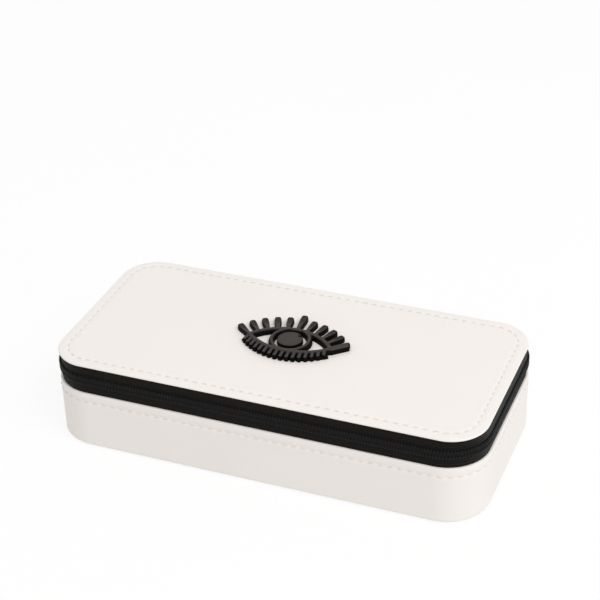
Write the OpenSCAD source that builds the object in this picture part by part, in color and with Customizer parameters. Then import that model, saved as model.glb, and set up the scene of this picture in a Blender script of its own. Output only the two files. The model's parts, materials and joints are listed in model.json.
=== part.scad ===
// Zip-around travel jewelry box. A rigid base tray and a flat lid are covered in leather-look
// sheet. A flexible strip hinges them at the back and a coil zip closes the other three sides.
// Inside are ring rolls, three compartments and a mirror in the padded lid lining.
// Millimetres, +Z up, +Y towards the hinge, origin at the middle of the underside.

/* [Case] */
// Length over the covers
case_l = 200; // [180:1:260]
// Width over the covers
case_w = 96; // [86:1:130]
// Corner radius of the base and the zip band
base_corner_r = 20; // [17:0.5:26]
// How far the lid's edge lies inside the base's outline
lid_inset = 1; // [0:0.1:1.5]
// How much tighter the lid's corners are, so that they overhang the band
lid_corner_less = 2; // [0:0.5:4]
// Height of the covered side of the base
base_side_h = 28.6; // [24:0.1:45]
// Height of the black band between the two covers
band_h = 13.2; // [13:0.1:18]
// Thickness of the lid cover's folded edge
lid_edge_t = 1.2; // [1.1:0.1:2.5]

/* [Boards and covers] */
// Thickness of the leather-look sheet
cover_t = 1; // [0.8:0.1:1.2]
// Rounding of the covers' visible edges
edge_r = 0.5; // [0.3:0.1:0.6]
// Rounding along the foot of the base cover
foot_r = 1.2; // [1.1:0.1:4]
// Width of the hem that the base cover turns under the board
base_hem_w = 8; // [5:0.5:12]
// Width of the lid cover's folded hem
lid_hem_w = 7; // [5:0.5:10]
// Thickness of the board in the floor and the lid
board_t = 2; // [1.6:0.1:3]
// Thickness of the panel under the base
underside_t = 0.6; // [0.4:0.1:1]
// How far the underside panel stays in from the base's outline
underside_inset = 2.4; // [1.6:0.2:6]

/* [Zip] */
// Thickness of the woven tape
tape_t = 0.6; // [0.4:0.1:0.8]
// How far the lower tape is tucked behind the base cover
tape_tuck = 5; // [3:0.5:8]
// Gap between the two tapes under the coil
tape_gap = 0.3; // [0.2:0.1:0.6]
// Width of the closed coil chain
chain_w = 4.9; // [4:0.1:6]
// Thickness of the coil, outwards from the tape
coil_t = 0.9; // [0.6:0.1:1]
// Distance from one coil loop to the next
tooth_pitch = 1.4; // [1.2:0.1:2]
// Width of one coil loop along the zip
tooth_w = 0.6; // [0.4:0.05:0.65]
// How far a loop reaches past the zip's centre line
tooth_reach = 0.5; // [0.3:0.1:0.8]
// Width of the coil's outer edge, where its loops turn back
coil_edge_w = 0.5; // [0.3:0.1:0.8]
// Angle of the right rear corner at which the chain ends
chain_end_deg = 48; // [20:1:60]
// Length that is left between the top stops and the left rear corner
zip_end_gap = 2.6; // [2:0.2:5]

/* [Slider] */
// Length of the slider
slider_l = 9; // [8:0.5:11]
// Thickness of the slider's outer plate
slider_plate_t = 0.9; // [0.7:0.1:1.2]
// Thickness of the slider's inner plate
slider_inner_t = 0.75; // [0.6:0.05:1]
// Running gap between the slider and the chain
slider_gap = 0.12; // [0.1:0.02:0.2]
// Thickness of the slider's side flanges
flange_t = 0.55; // [0.4:0.05:0.8]
// How far the slider's head spreads each tape
spread = 1.4; // [1:0.1:1.8]
// Radius of the arch's round leg, on which the puller hangs
leg_r = 0.65; // [0.5:0.05:0.8]
// Length of the puller from the leg to its tip
puller_l = 20; // [14:1:23]
// Thickness of the puller
puller_t = 1.1; // [0.8:0.1:1.4]
// Half width of the puller at its wide end
puller_r = 3.1; // [2.4:0.1:4]

/* [Inside] */
// Thickness of the velvet-covered lining
liner_t = 1; // [0.8:0.1:1.5]
// Thickness of the board collar that stands up inside the zip
collar_t = 1.2; // [1:0.1:2]
// Thickness of the dividers
divider_t = 2; // [1.5:0.1:4]
// How far the dividers stop below the rim
divider_drop = 1.5; // [0.5:0.5:6]
// Number of ring rolls
roll_count = 5; // [3:1:6]
// Diameter of a ring roll
roll_d = 12.5; // [10:0.5:14]
// Gap between ring rolls
roll_gap = 0.25; // [0.2:0.05:0.6]
// Height of the foam bed under the ring rolls
bed_h = 13; // [8:0.5:15]
// How far the ring rolls' middle lies to the right of the box's middle
roll_offset = 5; // [-15:1:15]
// Thickness of the lid's padded lining
lid_liner_t = 2.2; // [1.8:0.1:3]
// Thickness of the velvet border round the padded lining
border_t = 0.5; // [0.3:0.1:0.8]
// Length of the mirror
mirror_l = 150; // [110:1:160]
// Width of the mirror
mirror_w = 58; // [40:1:66]
// Thickness of the mirror
mirror_t = 1.6; // [1:0.1:1.8]
// Corner radius of the mirror
mirror_corner_r = 6; // [3:0.5:12]

/* [Eye] */
// Half length of the eye, corner to corner
eye_half_l = 19.2; // [16:0.2:24]
// Rise of the upper lid above the corners
eye_rise = 9.8; // [8:0.2:13]
// Drop of the lower lid below the corners
eye_drop = 7.6; // [5:0.2:9]
// Width of the lid lines
eye_line_w = 3.1; // [1.6:0.1:3.4]
// Thickness of the moulded eye
eye_t = 2.8; // [1.2:0.1:3.2]
// Outer radius of the iris ring
iris_r = 9.8; // [8:0.1:10.5]
// Width of the iris ring
iris_w = 2.6; // [2:0.1:3.2]
// Radius of the pupil
pupil_r = 5.8; // [4:0.1:6.2]
// Height of the pupil's flat top
pupil_t = 2.5; // [1.4:0.1:2.8]
// Number of upper lashes
upper_lashes = 11; // [7:2:13]
// Length of an upper lash
upper_lash_l = 9.8; // [6:0.2:10.4]
// How much longer the middle upper lash is
middle_lash_more = 2.8; // [0:0.2:3.4]
// Half width of an upper lash at its broad end
upper_lash_r = 1.65; // [1:0.05:1.9]
// Number of lower lashes
lower_lashes = 16; // [9:1:19]
// Length of the middle lower lash
lower_lash_l = 5.4; // [4:0.2:7]
// Half width of a lower lash at its broad end
lower_lash_r = 1; // [0.7:0.05:1.4]

/* [Hidden] */

$fn = 64;

leather = [0.95, 0.93, 0.91];
board_grey = [0.62, 0.6, 0.57];
black = [0.08, 0.08, 0.08];
velvet = [0.8, 0.76, 0.72];

// Clearances and laps
collar_gap = 0.35;
board_lap = 0.2;
collar_drop = 1.5;
strip_gap = 0.1;
strip_end_gap = 0.2;
hem_gap = 0.2;
split_lead = 1;
stop_gap = 0.1;
loop_gap = 0.05;

// Levels, from the table up
board_z = underside_t + cover_t;
floor_z = board_z + board_t + liner_t;
tuck_z = base_side_h - tape_tuck;
zip_z = base_side_h + band_h / 2;
lid_under_z = base_side_h + band_h;
case_h = lid_under_z + lid_edge_t;
flange_z = lid_under_z - tape_t;
lid_board_z = flange_z - board_t;
lid_liner_z = lid_board_z - lid_liner_t;
board_top_z = zip_z - chain_w / 2 - spread - flange_t + board_lap;
collar_top_z = zip_z - collar_drop;
rim_z = collar_top_z + liner_t;
divider_z = rim_z - divider_drop;

// Depths, inwards from the case's outline
tape_d = cover_t;
tape_in_d = tape_d + tape_t;
coil_d = tape_d - coil_t;
collar_d = tape_in_d + slider_gap + slider_inner_t + collar_gap;
board_in_d = collar_d + collar_t;
inside_d = board_in_d + liner_t;

lid_l = case_l - 2 * lid_inset;
lid_w = case_w - 2 * lid_inset;
lid_corner_r = base_corner_r - lid_inset - lid_corner_less;
inside_l = case_l - 2 * inside_d;
inside_w = case_w - 2 * inside_d;

// Half lengths of the straight sides
long_half = case_l / 2 - base_corner_r;
short_half = case_w / 2 - base_corner_r;

// Hinge strip, whose bend lies at the depth of the cover's inner face
strip_lap = 5;
strip_out_d = 0.5;
strip_edge = 0.2;

// Slider and stops on the left side: y runs from the front to the back of the case
top_stop_l = 1.3;
clamp_t = 0.5;
chain_top_y = short_half - zip_end_gap - top_stop_l - stop_gap;
slider_y = chain_top_y - 1.5 - slider_l / 2;
split_y0 = slider_y - split_lead;
split_y1 = slider_y + slider_l / 2;
split_end_y = chain_top_y + stop_gap + top_stop_l + 0.2;
arch_room = puller_t + 0.5;
arch_t = 0.8;
arch_half_w = 0.85;
leg_u = slider_l / 2 - 1.9;
tail_leg_u = -slider_l / 2 + 1.5;
slider_cut = 0.7;
puller_hole_r = 1.3;
puller_ring_r = 2.4;
puller_dish = 0.3;
puller_rim = 0.9;

// Ring zone
roll_zone_l = roll_count * roll_d + (roll_count + 1) * roll_gap;
roll_end_gap = 0.3;
roll_l = inside_w - 2 * roll_end_gap;
roll_sink = 0.8;
bed_gap = 0.2;

// ---------------------------------------------------------------- helpers

// Points of an arc about centre c, from angle a0 to a1 in n steps
function arc(c, r, a0, a1, n) =
    [for (i = [0:n]) c + r * [cos(a0 + (a1 - a0) * i / n), sin(a0 + (a1 - a0) * i / n)]];

// Half length of the straight side k: even sides run along X, odd ones along Y
function half_run(k, l, w, r) = (k % 2 == 0 ? l : w) / 2 - r;

// Distance of side k from the middle
function reach(k, l, w) = (k % 2 == 0 ? w : l) / 2;

// Places children in the frame of side k: 0 back, 1 left, 2 front, 3 right. There X runs along
// the side, Y points outwards and the outline lies at y = reach(k).
module on_side(k) {
    rotate([0, 0, 90 * k])
        children();
}

// Extrudes a section (x inwards from the outline, y up) along side k from u0 to u1
module side_run(k, u0, u1, l = case_l, w = case_w) {
    on_side(k)
        translate([u0, reach(k, l, w), 0])
            rotate([90, 0, 90])
                linear_extrude(u1 - u0)
                    mirror([1, 0])
                        children();
}

// Turns a section (x inwards from the outline, y up) round the corner at the end of side k. The
// intersection keeps the section from crossing the corner's axis by a rounding error.
module corner_run(k, a0 = 0, a1 = 90, l = case_l, w = case_w, r = base_corner_r) {
    on_side(k)
        translate([half_run(k, l, w, r), reach(k, l, w) - r, 0])
            rotate_extrude(angle = a1 - a0, start = a0)
                intersection() {
                    translate([r, 0])
                        mirror([1, 0])
                            children();
                    translate([0, -case_h])
                        square([2 * r, 3 * case_h]);
                }
}

// Sweeps a section all the way round the outline
module around(l = case_l, w = case_w, r = base_corner_r) {
    for (k = [0:3]) {
        side_run(k, -half_run(k, l, w, r), half_run(k, l, w, r), l, w)
            children();
        corner_run(k, 0, 90, l, w, r)
            children();
    }
}

// Flat plate with rounded corners, inset by d from an outline
module plate(d, z, t, l = case_l, w = case_w, r = base_corner_r) {
    around(l, w, r)
        polygon([[d, z], [r, z], [r, z + t], [d, z + t]]);
    translate([r - l / 2, r - w / 2, z])
        cube([l - 2 * r, w - 2 * r, t]);
}

// Upright divider with a rounded top edge, running along X between x0 and x1 at y = 0
module divider(x0, x1, t) {
    translate([x0, 0, floor_z])
        rotate([90, 0, 90])
            linear_extrude(x1 - x0)
                polygon(concat(
                    [[-t / 2, 0], [t / 2, 0]],
                    arc([0, divider_z - floor_z - t / 2], t / 2, 0, 180, 8)
                ));
}

// ---------------------------------------------------------------- base

// Panel under the base, with a core that fills the space inside the cover's hem
module base_underside() {
    core_d = cover_t + base_hem_w + hem_gap;
    color(leather) {
        plate(underside_inset, 0, underside_t);
        plate(core_d, underside_t, cover_t);
    }
}

// Rounding along the foot, from the wall to the underside
function foot_arc(r) = arc([foot_r, underside_t + foot_r], r, 180, 270, 5);

// Rigid tray: floor, walls rebated for the tape, and a thin collar inside the zip
module base_board() {
    color(board_grey) {
        around()
            polygon(concat(
                foot_arc(foot_r - cover_t),
                [
                    [base_corner_r, board_z],
                    [base_corner_r, board_z + board_t],
                    [board_in_d, board_z + board_t],
                    [board_in_d, collar_top_z],
                    [collar_d, collar_top_z],
                    [collar_d, board_top_z],
                    [tape_in_d, board_top_z],
                    [tape_in_d, tuck_z],
                    [cover_t, tuck_z]
                ]
            ));
        translate([-long_half, -short_half, board_z])
            cube([2 * long_half, 2 * short_half, board_t]);
    }
}

// Cover round the base: rounded top edge, rounded foot and a hem turned under the board
module base_cover() {
    hem_end = cover_t + base_hem_w;
    color(leather)
        around()
            polygon(concat(
                foot_arc(foot_r),
                [[hem_end, underside_t], [hem_end, board_z]],
                arc([foot_r, underside_t + foot_r], foot_r - cover_t, 270, 180, 5),
                [[cover_t, base_side_h]],
                arc([edge_r, base_side_h - edge_r], edge_r, 90, 180, 4)
            ));
}

// Velvet-covered lining of the tray, lapped over the collar's top
module base_liner() {
    lip_r = liner_t / 2;
    color(velvet) {
        around()
            polygon(concat(
                [
                    [base_corner_r, board_z + board_t],
                    [base_corner_r, floor_z],
                    [inside_d, floor_z]
                ],
                arc([inside_d - lip_r, rim_z - lip_r], lip_r, 0, 90, 3),
                arc([collar_d + lip_r, rim_z - lip_r], lip_r, 90, 180, 3),
                [
                    [collar_d, collar_top_z],
                    [board_in_d, collar_top_z],
                    [board_in_d, board_z + board_t]
                ]
            ));
        translate([-long_half, -short_half, board_z + board_t])
            cube([2 * long_half, 2 * short_half, liner_t]);
    }
}

// Divider at the left of the ring rolls
module divider_left() {
    x = roll_offset - roll_zone_l / 2 - divider_t / 2;
    color(velvet)
        translate([x, 0, 0])
            rotate([0, 0, 90])
                divider(-inside_w / 2, inside_w / 2, divider_t);
}

// Divider at the right of the ring rolls
module divider_right() {
    x = roll_offset + roll_zone_l / 2 + divider_t / 2;
    color(velvet)
        translate([x, 0, 0])
            rotate([0, 0, 90])
                divider(-inside_w / 2, inside_w / 2, divider_t);
}

// Divider that splits the right end into two compartments
module divider_end() {
    x = roll_offset + roll_zone_l / 2 + divider_t;
    color(velvet)
        divider(x, inside_l / 2, divider_t);
}

// Foam bed that lifts the ring rolls
module ring_bed() {
    color(velvet)
        translate([roll_offset - roll_zone_l / 2 + bed_gap, -roll_l / 2, floor_z])
            cube([roll_zone_l - 2 * bed_gap, roll_l, bed_h]);
}

// One padded ring roll, flat where it is glued to its bed
module ring_roll(i) {
    r = roll_d / 2;
    end_r = 2.5;
    x = roll_offset - roll_zone_l / 2 + roll_gap + r + i * (roll_d + roll_gap);
    color(velvet)
        translate([x, 0, floor_z + bed_h + r - roll_sink])
            difference() {
                rotate([90, 0, 0])
                    rotate_extrude()
                        polygon(concat(
                            [[0, -roll_l / 2]],
                            arc([r - end_r, end_r - roll_l / 2], end_r, 270, 360, 4),
                            arc([r - end_r, roll_l / 2 - end_r], end_r, 0, 90, 4),
                            [[0, roll_l / 2]]
                        ));
                translate([-r - 1, -roll_l, -2 * r])
                    cube([roll_d + 2, 2 * roll_l, r + roll_sink]);
            }
}

// ---------------------------------------------------------------- zip

// How far the tapes are spread at y on the left side, round the slider's head
function spread_at(y) =
    y <= split_y0 ? 0 : min(1, (y - split_y0) / (split_y1 - split_y0)) * spread;

// Section of the lower tape
module lower_tape_section() {
    translate([tape_d, tuck_z])
        square([tape_t, zip_z - tape_gap / 2 - tuck_z]);
}

// Section of the upper tape: it folds inwards under the lid cover's hem
module upper_tape_section() {
    polygon(concat(
        [
            [tape_in_d, zip_z + tape_gap / 2],
            [tape_in_d, flange_z],
            [lid_hem_w, flange_z],
            [lid_hem_w, lid_under_z]
        ],
        arc([tape_in_d, flange_z], tape_t, 90, 180, 3),
        [[tape_d, zip_z + tape_gap / 2]]
    ));
}

// Opening between the tapes at the slider's head, cut through the left side of both
module tape_split() {
    g = spread + tape_gap / 2;
    h = tape_gap / 2;
    on_side(1)
        translate([0, case_l / 2 - tape_d + 1, zip_z])
            rotate([90, 0, 0])
                linear_extrude(tape_t + 2)
                    polygon([
                        [split_y0, -h], [split_y1, -g], [split_end_y, -g], [short_half, -h],
                        [short_half, h], [split_end_y, g], [split_y1, g], [split_y0, h]
                    ]);
}

// Both tapes run from one end of the hinge strip round three sides to its other end
module tape_run() {
    tape_end = long_half - strip_lap;
    side_run(0, tape_end, long_half)
        children();
    side_run(0, -long_half, -tape_end)
        children();
    for (k = [1:3])
        side_run(k, -half_run(k, case_l, case_w, base_corner_r), half_run(k, case_l, case_w, base_corner_r))
            children();
    for (k = [0:3])
        corner_run(k)
            children();
}

module lower_zip_tape() {
    color(black)
        difference() {
            tape_run()
                lower_tape_section();
            tape_split();
        }
}

module upper_zip_tape() {
    color(black)
        difference() {
            tape_run()
                upper_tape_section();
            tape_split();
        }
}

// Height of the lower row's edge at u: it follows the tapes apart on the left side
function row_shift(u, spreads) = spreads ? -spread_at(u) : 0;

// Outline of one row of coil loops along a straight run from u0 to u1
function comb(u0, u1, phase, spreads) =
    let (
        n = round((u1 - u0) / tooth_pitch),
        p = (u1 - u0) / n,
        lo = -chain_w / 2,
        root = lo + coil_edge_w,
        brk = spreads ? [split_y0, split_y1] : []
    )
    concat(
        [for (u = concat([u0], brk, [u1])) [u, lo + row_shift(u, spreads)]],
        [[u1, root + row_shift(u1, spreads)]],
        [
            for (i = [n - 1:-1:0])
                let (u = u0 + (i + phase) * p, s = row_shift(u, spreads))
                    for (q = [[0.5, root], [0.5, tooth_reach], [-0.5, tooth_reach], [-0.5, root]])
                        [u + q[0] * tooth_w, q[1] + s]
        ],
        [[u0, root + row_shift(u0, spreads)]]
    );

// One row of coil loops along side k
module coil_side(k, u0, u1, phase, spreads = false) {
    on_side(k)
        translate([0, reach(k, case_l, case_w) - coil_d, 0])
            rotate([90, 0, 0])
                linear_extrude(coil_t)
                    polygon(comb(u0, u1, phase, spreads));
}

// One row of coil loops round the corner at the end of side k
module coil_corner(k, a0, a1, phase) {
    run = (base_corner_r - coil_d) * (a1 - a0) * PI / 180;
    n = round(run / tooth_pitch);
    step = (a1 - a0) / n;
    half = tooth_w / 2 / (base_corner_r - coil_d) * 180 / PI;
    corner_run(k, a0, a1)
        translate([coil_d, -chain_w / 2])
            square([coil_t, coil_edge_w]);
    for (i = [0:n - 1]) {
        a = a0 + (i + phase) * step;
        corner_run(k, a - half, a + half)
            translate([coil_d, -chain_w / 2 + coil_edge_w])
                square([coil_t, chain_w / 2 - coil_edge_w + tooth_reach]);
    }
}

// One whole row of the chain, with z = 0 on the zip's centre line. Corner k joins side k to the
// side before it, so phases run against the angle there.
module coil_row(phase) {
    coil_corner(0, 0, chain_end_deg, 1 - phase);
    coil_side(3, -short_half, short_half, phase);
    coil_corner(3, 0, 90, phase);
    coil_side(2, -long_half, long_half, phase);
    coil_corner(2, 0, 90, phase);
    coil_side(1, -short_half, chain_top_y, phase, true);
}

module lower_coil() {
    color(black)
        translate([0, 0, zip_z])
            coil_row(0.25);
}

module upper_coil() {
    color(black)
        translate([0, 0, zip_z])
            mirror([0, 0, 1])
                coil_row(0.75);
}

// Metal stop clamped over the lower tape's edge beyond the last loop
module top_stop() {
    edge = -spread - tape_gap / 2;
    on_side(1)
        translate([chain_top_y + stop_gap, case_l / 2, 0])
            rotate([90, 0, 90])
                linear_extrude(top_stop_l)
                    mirror([1, 0])
                        polygon([
                            [tape_d - 0.8, edge - 2.2], [tape_d, edge - 2.2], [tape_d, edge],
                            [tape_in_d, edge], [tape_in_d, edge - 1.8],
                            [tape_in_d + clamp_t, edge - 1.8], [tape_in_d + clamp_t, edge + clamp_t],
                            [tape_d - 0.5, edge + clamp_t], [tape_d - 0.8, edge + 0.2]
                        ]);
}

module lower_top_stop() {
    color(black)
        translate([0, 0, zip_z])
            top_stop();
}

module upper_top_stop() {
    color(black)
        translate([0, 0, zip_z])
            mirror([0, 0, 1])
                top_stop();
}

// Stop across both rows at the other end of the chain
module bottom_stop() {
    a0 = chain_end_deg + 0.5;
    stop_deg = 5;
    h = chain_w / 2 - 0.2;
    color(black)
        corner_run(0, a0, a0 + stop_deg)
            translate([0, zip_z])
                polygon([
                    [tape_d, -h], [tape_d, h], [coil_d + 0.2, h], [coil_d, h - 0.3],
                    [coil_d, 0.3 - h], [coil_d + 0.2, -h]
                ]);
}

// Flexible leather-look strip across the back, lapped over the tapes' ends
module hinge_strip() {
    top = lid_under_z - strip_gap;
    low = base_side_h + strip_gap;
    end = long_half - strip_lap - strip_end_gap;
    outer_face = [
        [strip_out_d + strip_edge, top], [strip_out_d, top - strip_edge],
        [strip_out_d, low + strip_edge], [strip_out_d + strip_edge, low]
    ];
    color(leather) {
        side_run(0, -end, end)
            polygon(concat(
                [
                    [tape_in_d, tuck_z], [tape_in_d, flange_z], [lid_hem_w, flange_z],
                    [lid_hem_w, lid_under_z], [tape_d, lid_under_z], [tape_d, top]
                ],
                outer_face,
                [[tape_d, low], [tape_d, tuck_z]]
            ));
        for (u = [-long_half, end])
            side_run(0, u, u + long_half - end)
                polygon(concat([[tape_d, low], [tape_d, top]], outer_face));
    }
}

// ---------------------------------------------------------------- lid

// Rigid board of the lid
module lid_board() {
    color(board_grey)
        plate(tape_in_d, lid_board_z, board_t);
}

// Foam sheet between the board and the cover, inside the hem
module lid_padding() {
    color([0.85, 0.85, 0.82])
        plate(lid_hem_w + hem_gap, flange_z, case_h - cover_t - flange_z);
}

// Cover of the lid: one sheet with a folded, rounded edge
module lid_cover() {
    hem_end = lid_hem_w - lid_inset;
    color(leather) {
        around(lid_l, lid_w, lid_corner_r)
            polygon(concat(
                [[lid_corner_r, case_h - cover_t], [lid_corner_r, case_h]],
                arc([edge_r, case_h - edge_r], edge_r, 90, 180, 4),
                arc([edge_r, lid_under_z + edge_r], edge_r, 180, 270, 4),
                [[hem_end, lid_under_z], [hem_end, case_h - cover_t]]
            ));
        translate([lid_corner_r - lid_l / 2, lid_corner_r - lid_w / 2, case_h - cover_t])
            cube([lid_l - 2 * lid_corner_r, lid_w - 2 * lid_corner_r, cover_t]);
    }
}

// Padded velvet lining of the lid, with a thin border and a window for the mirror
module lid_liner() {
    edge_d = tape_in_d + 0.1;
    border_z = lid_board_z - border_t;
    d = inside_d;
    lip = 0.5;
    gap = 0.3;
    color(velvet)
        difference() {
            union() {
                around()
                    polygon([
                        [edge_d, lid_board_z], [edge_d, border_z], [d, border_z],
                        [d, lid_liner_z + lip], [d + lip, lid_liner_z],
                        [base_corner_r, lid_liner_z], [base_corner_r, lid_board_z]
                    ]);
                translate([-long_half, -short_half, lid_liner_z])
                    cube([2 * long_half, 2 * short_half, lid_liner_t]);
            }
            plate(
                0, lid_liner_z - 1, lid_liner_t + 2,
                mirror_l + 2 * gap, mirror_w + 2 * gap, mirror_corner_r + gap
            );
        }
}

// Mirror let into the lid lining and glued to the board
module mirror_glass() {
    color([0.75, 0.8, 0.85])
        plate(0, lid_board_z - mirror_t, mirror_t, mirror_l, mirror_w, mirror_corner_r);
}

// ---------------------------------------------------------------- eye

upper_arc_r = (pow(eye_half_l, 2) + pow(eye_rise, 2)) / (2 * eye_rise);
lower_arc_r = (pow(eye_half_l, 2) + pow(eye_drop, 2)) / (2 * eye_drop);
corner_y = -2.3;
eye_x = -0.5;
upper_arc_c = [eye_x, corner_y + eye_rise - upper_arc_r];
lower_arc_c = [eye_x, corner_y - eye_drop + lower_arc_r];
upper_span = asin(eye_half_l / upper_arc_r);
lower_span = asin(eye_half_l / lower_arc_r);
iris_c = [-0.7, -0.8];
pupil_c = [-1, -0.4];

// Directions of the lashes: all lean a little to the left, and the last upper one, the wing,
// lies almost along the eye
wing_deg = 43;
lean_deg = 4.5;
upper_fan = 0.82;
lower_fan = 12;

// Flat-bottomed bead with a chamfered top, turned by a, from which the lashes are stretched
module bead(p, r, t, a) {
    translate([p[0], p[1], 0])
        rotate([0, 0, a]) {
            cylinder(h = 0.7 * t, r = r, $fn = 16);
            cylinder(h = t, r = 0.7 * r, $fn = 16);
        }
}

// One lash from root point p, pointing at angle a, broader towards its tip
module lash(p, a, l, r0, r1, t) {
    dir = [cos(a), sin(a)];
    hull() {
        bead(p, r0, t, a);
        bead(p + (l - r1) * dir, r1, t, a);
    }
}

// Upper lash: a paddle with a shallow hollow in its broad end
module paddle(p, a, l) {
    t = 0.9 * eye_t;
    hollow_t = 0.5;
    dir = [cos(a), sin(a)];
    tip = p + (l - upper_lash_r) * dir;
    difference() {
        lash(p, a, l, 0.55 * upper_lash_r, upper_lash_r, t);
        hull()
            for (q = [tip, p + 0.45 * l * dir])
                translate([q[0], q[1], t - hollow_t])
                    cylinder(h = 1, r1 = 0.25 * upper_lash_r, r2 = 0.75 * upper_lash_r, $fn = 10);
    }
}

// Curved line of the eye about centre c, chamfered on top
module lid_line(c, r, a0, a1) {
    translate([c[0], c[1], 0])
        rotate_extrude(angle = a1 - a0, start = a0, $fn = 90)
            translate([r, 0])
                polygon([
                    [-eye_line_w / 2, 0], [eye_line_w / 2, 0],
                    [0.44 * eye_line_w, 0.6 * eye_t], [0.2 * eye_line_w, 0.96 * eye_t],
                    [-0.2 * eye_line_w, 0.96 * eye_t], [-0.44 * eye_line_w, 0.6 * eye_t]
                ]);
}

// Ring of the iris, chamfered on top
module iris_ring() {
    inner_r = iris_r - iris_w;
    chamfer = 0.7;
    translate([iris_c[0], iris_c[1], 0])
        rotate_extrude($fn = 72)
            polygon([
                [inner_r, 0], [iris_r, 0], [iris_r, eye_t - chamfer],
                [iris_r - chamfer, eye_t], [inner_r + chamfer, eye_t],
                [inner_r, eye_t - chamfer]
            ]);
}

// Upper lashes: they lean outwards in a fan, and the last is a wing of two ribs
module upper_lash_row() {
    last = upper_lashes - 1;
    for (i = [0:last - 1]) {
        a = 90 + upper_span * (1 - 2 * i / last);
        root = upper_arc_c + upper_arc_r * [cos(a), sin(a)];
        l = upper_lash_l + (i == last / 2 ? middle_lash_more : 0);
        paddle(root, 90 + lean_deg + (a - 90) * upper_fan, l);
    }
    side = [-sin(wing_deg), cos(wing_deg)];
    rib_r = 0.65 * upper_lash_r;
    for (way = [-1, 1])
        lash(
            [eye_x + eye_half_l, corner_y] + way * 0.85 * rib_r * side, wing_deg,
            upper_lash_l - (1 - way) / 2, 0.9 * rib_r, rib_r, 0.86 * eye_t
        );
}

// Lower lashes: short ribs on a thin web, from the left corner almost to the right one
module lower_lash_row() {
    web_w = 4;
    web_t = 1.1;
    for (i = [0:lower_lashes - 1]) {
        s = 2 * i / lower_lashes - 1;
        a = 270 + lower_span * s;
        l = lower_lash_l * (1 - 0.1 * s - 0.15 * s * s);
        lash(
            lower_arc_c + lower_arc_r * [cos(a), sin(a)], 270 + lean_deg + lower_fan * s, l,
            0.85 * lower_lash_r, lower_lash_r, 0.84 * eye_t
        );
    }
    translate([lower_arc_c[0], lower_arc_c[1], 0])
        rotate_extrude(angle = 1.9 * lower_span, start = 270 - lower_span, $fn = 90)
            translate([lower_arc_r, 0])
                square([web_w, web_t]);
}

// Lid lines, lashes and iris ring, moulded in one piece
module eye_emblem() {
    color(black)
        translate([0, 0, case_h]) {
            lid_line(upper_arc_c, upper_arc_r, 90 - upper_span, 90 + upper_span);
            lid_line(lower_arc_c, lower_arc_r, 270 - lower_span, 270 + lower_span);
            iris_ring();
            upper_lash_row();
            lower_lash_row();
        }
}

// Flat-topped pupil, rounded along its edge, with a small round bite for the catch-light
module eye_pupil() {
    edge = 0.4;
    bite_r = 0.8;
    bite_at = 0.6 * pupil_r;
    color(black)
        translate([pupil_c[0], pupil_c[1], case_h])
            difference() {
                rotate_extrude()
                    polygon(concat(
                        [[0, 0], [pupil_r, 0]],
                        arc([pupil_r - edge, pupil_t - edge], edge, 0, 80, 4),
                        [[0, pupil_t]]
                    ));
                translate([bite_at, bite_at, pupil_t - 0.9])
                    cylinder(h = 2, r = bite_r);
            }
}

// ---------------------------------------------------------------- slider

// Frame of the slider: X outwards from the cover's face, Y towards its head, Z up
module at_slider() {
    translate([-case_l / 2, slider_y, zip_z])
        mirror([1, 0, 0])
            children();
}

// Extrudes an outline (Y, Z) outwards from x0 to x1
module slab_x(x0, x1) {
    translate([x0, 0, 0])
        rotate([90, 0, 90])
            linear_extrude(x1 - x0)
                children();
}

// Half width of the slider's channel at distance u from its middle
function channel(u) = chain_w / 2 + slider_gap + spread_at(slider_y + u);

// Outline of one side flange, from the channel outwards
function flange_outline(side) =
    let (us = [-slider_l / 2, split_y0 - slider_y, slider_l / 2])
    concat(
        [for (u = us) [u, side * channel(u)]],
        [for (i = [2:-1:0]) [us[i], side * (channel(us[i]) + flange_t)]]
    );

// Slider: two plates joined by the wedge that parts the tapes, side flanges and an arch
module slider() {
    l2 = slider_l / 2;
    coil_x = -coil_d;
    face = coil_x + slider_gap;
    top = face + slider_plate_t;
    tail_w = channel(-l2) + flange_t;
    head_w = channel(l2) + flange_t;
    inner_x = -tape_in_d - slider_gap;
    inner_w = chain_w / 2 + 0.5;
    nose_u = split_y0 - slider_y + (tooth_reach + slider_gap) / spread * (split_y1 - split_y0);
    nose_w = spread - tooth_reach - slider_gap;
    cut = slider_cut;
    color(black)
        at_slider() {
            slab_x(face, top)
                polygon([
                    [-l2 + cut, -tail_w], [split_y0 - slider_y, -tail_w], [l2 - cut, -head_w],
                    [l2, cut - head_w], [l2, head_w - cut], [l2 - cut, head_w],
                    [split_y0 - slider_y, tail_w], [-l2 + cut, tail_w], [-l2, tail_w - cut],
                    [-l2, cut - tail_w]
                ]);
            for (side = [-1, 1])
                slab_x(0.15 - tape_d, face)
                    polygon(flange_outline(side));
            slab_x(inner_x - slider_inner_t, inner_x)
                polygon([
                    [-l2, -inner_w + cut], [-l2 + cut, -inner_w], [l2 - cut, -inner_w],
                    [l2, cut - inner_w], [l2, inner_w - cut], [l2 - cut, inner_w],
                    [-l2 + cut, inner_w], [-l2, inner_w - cut]
                ]);
            slab_x(inner_x, face)
                polygon([[nose_u, 0], [l2, -nose_w], [l2, nose_w]]);
            arch(top);
        }
}

// Arch over the slider's plate: the puller hangs on its round head leg
module arch(top) {
    crest = top + arch_room;
    translate([top, leg_u, 0])
        rotate([0, 90, 0])
            cylinder(h = arch_room, r = leg_r);
    translate([0, 0, -arch_half_w])
        linear_extrude(2 * arch_half_w)
            polygon([
                [top, tail_leg_u - 0.6], [crest, tail_leg_u - 0.6],
                [crest + arch_t, tail_leg_u + 0.1], [crest + arch_t, leg_u + 0.3],
                [crest, leg_u + 1], [crest, tail_leg_u + 0.6], [top, tail_leg_u + 0.6]
            ]);
}

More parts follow.
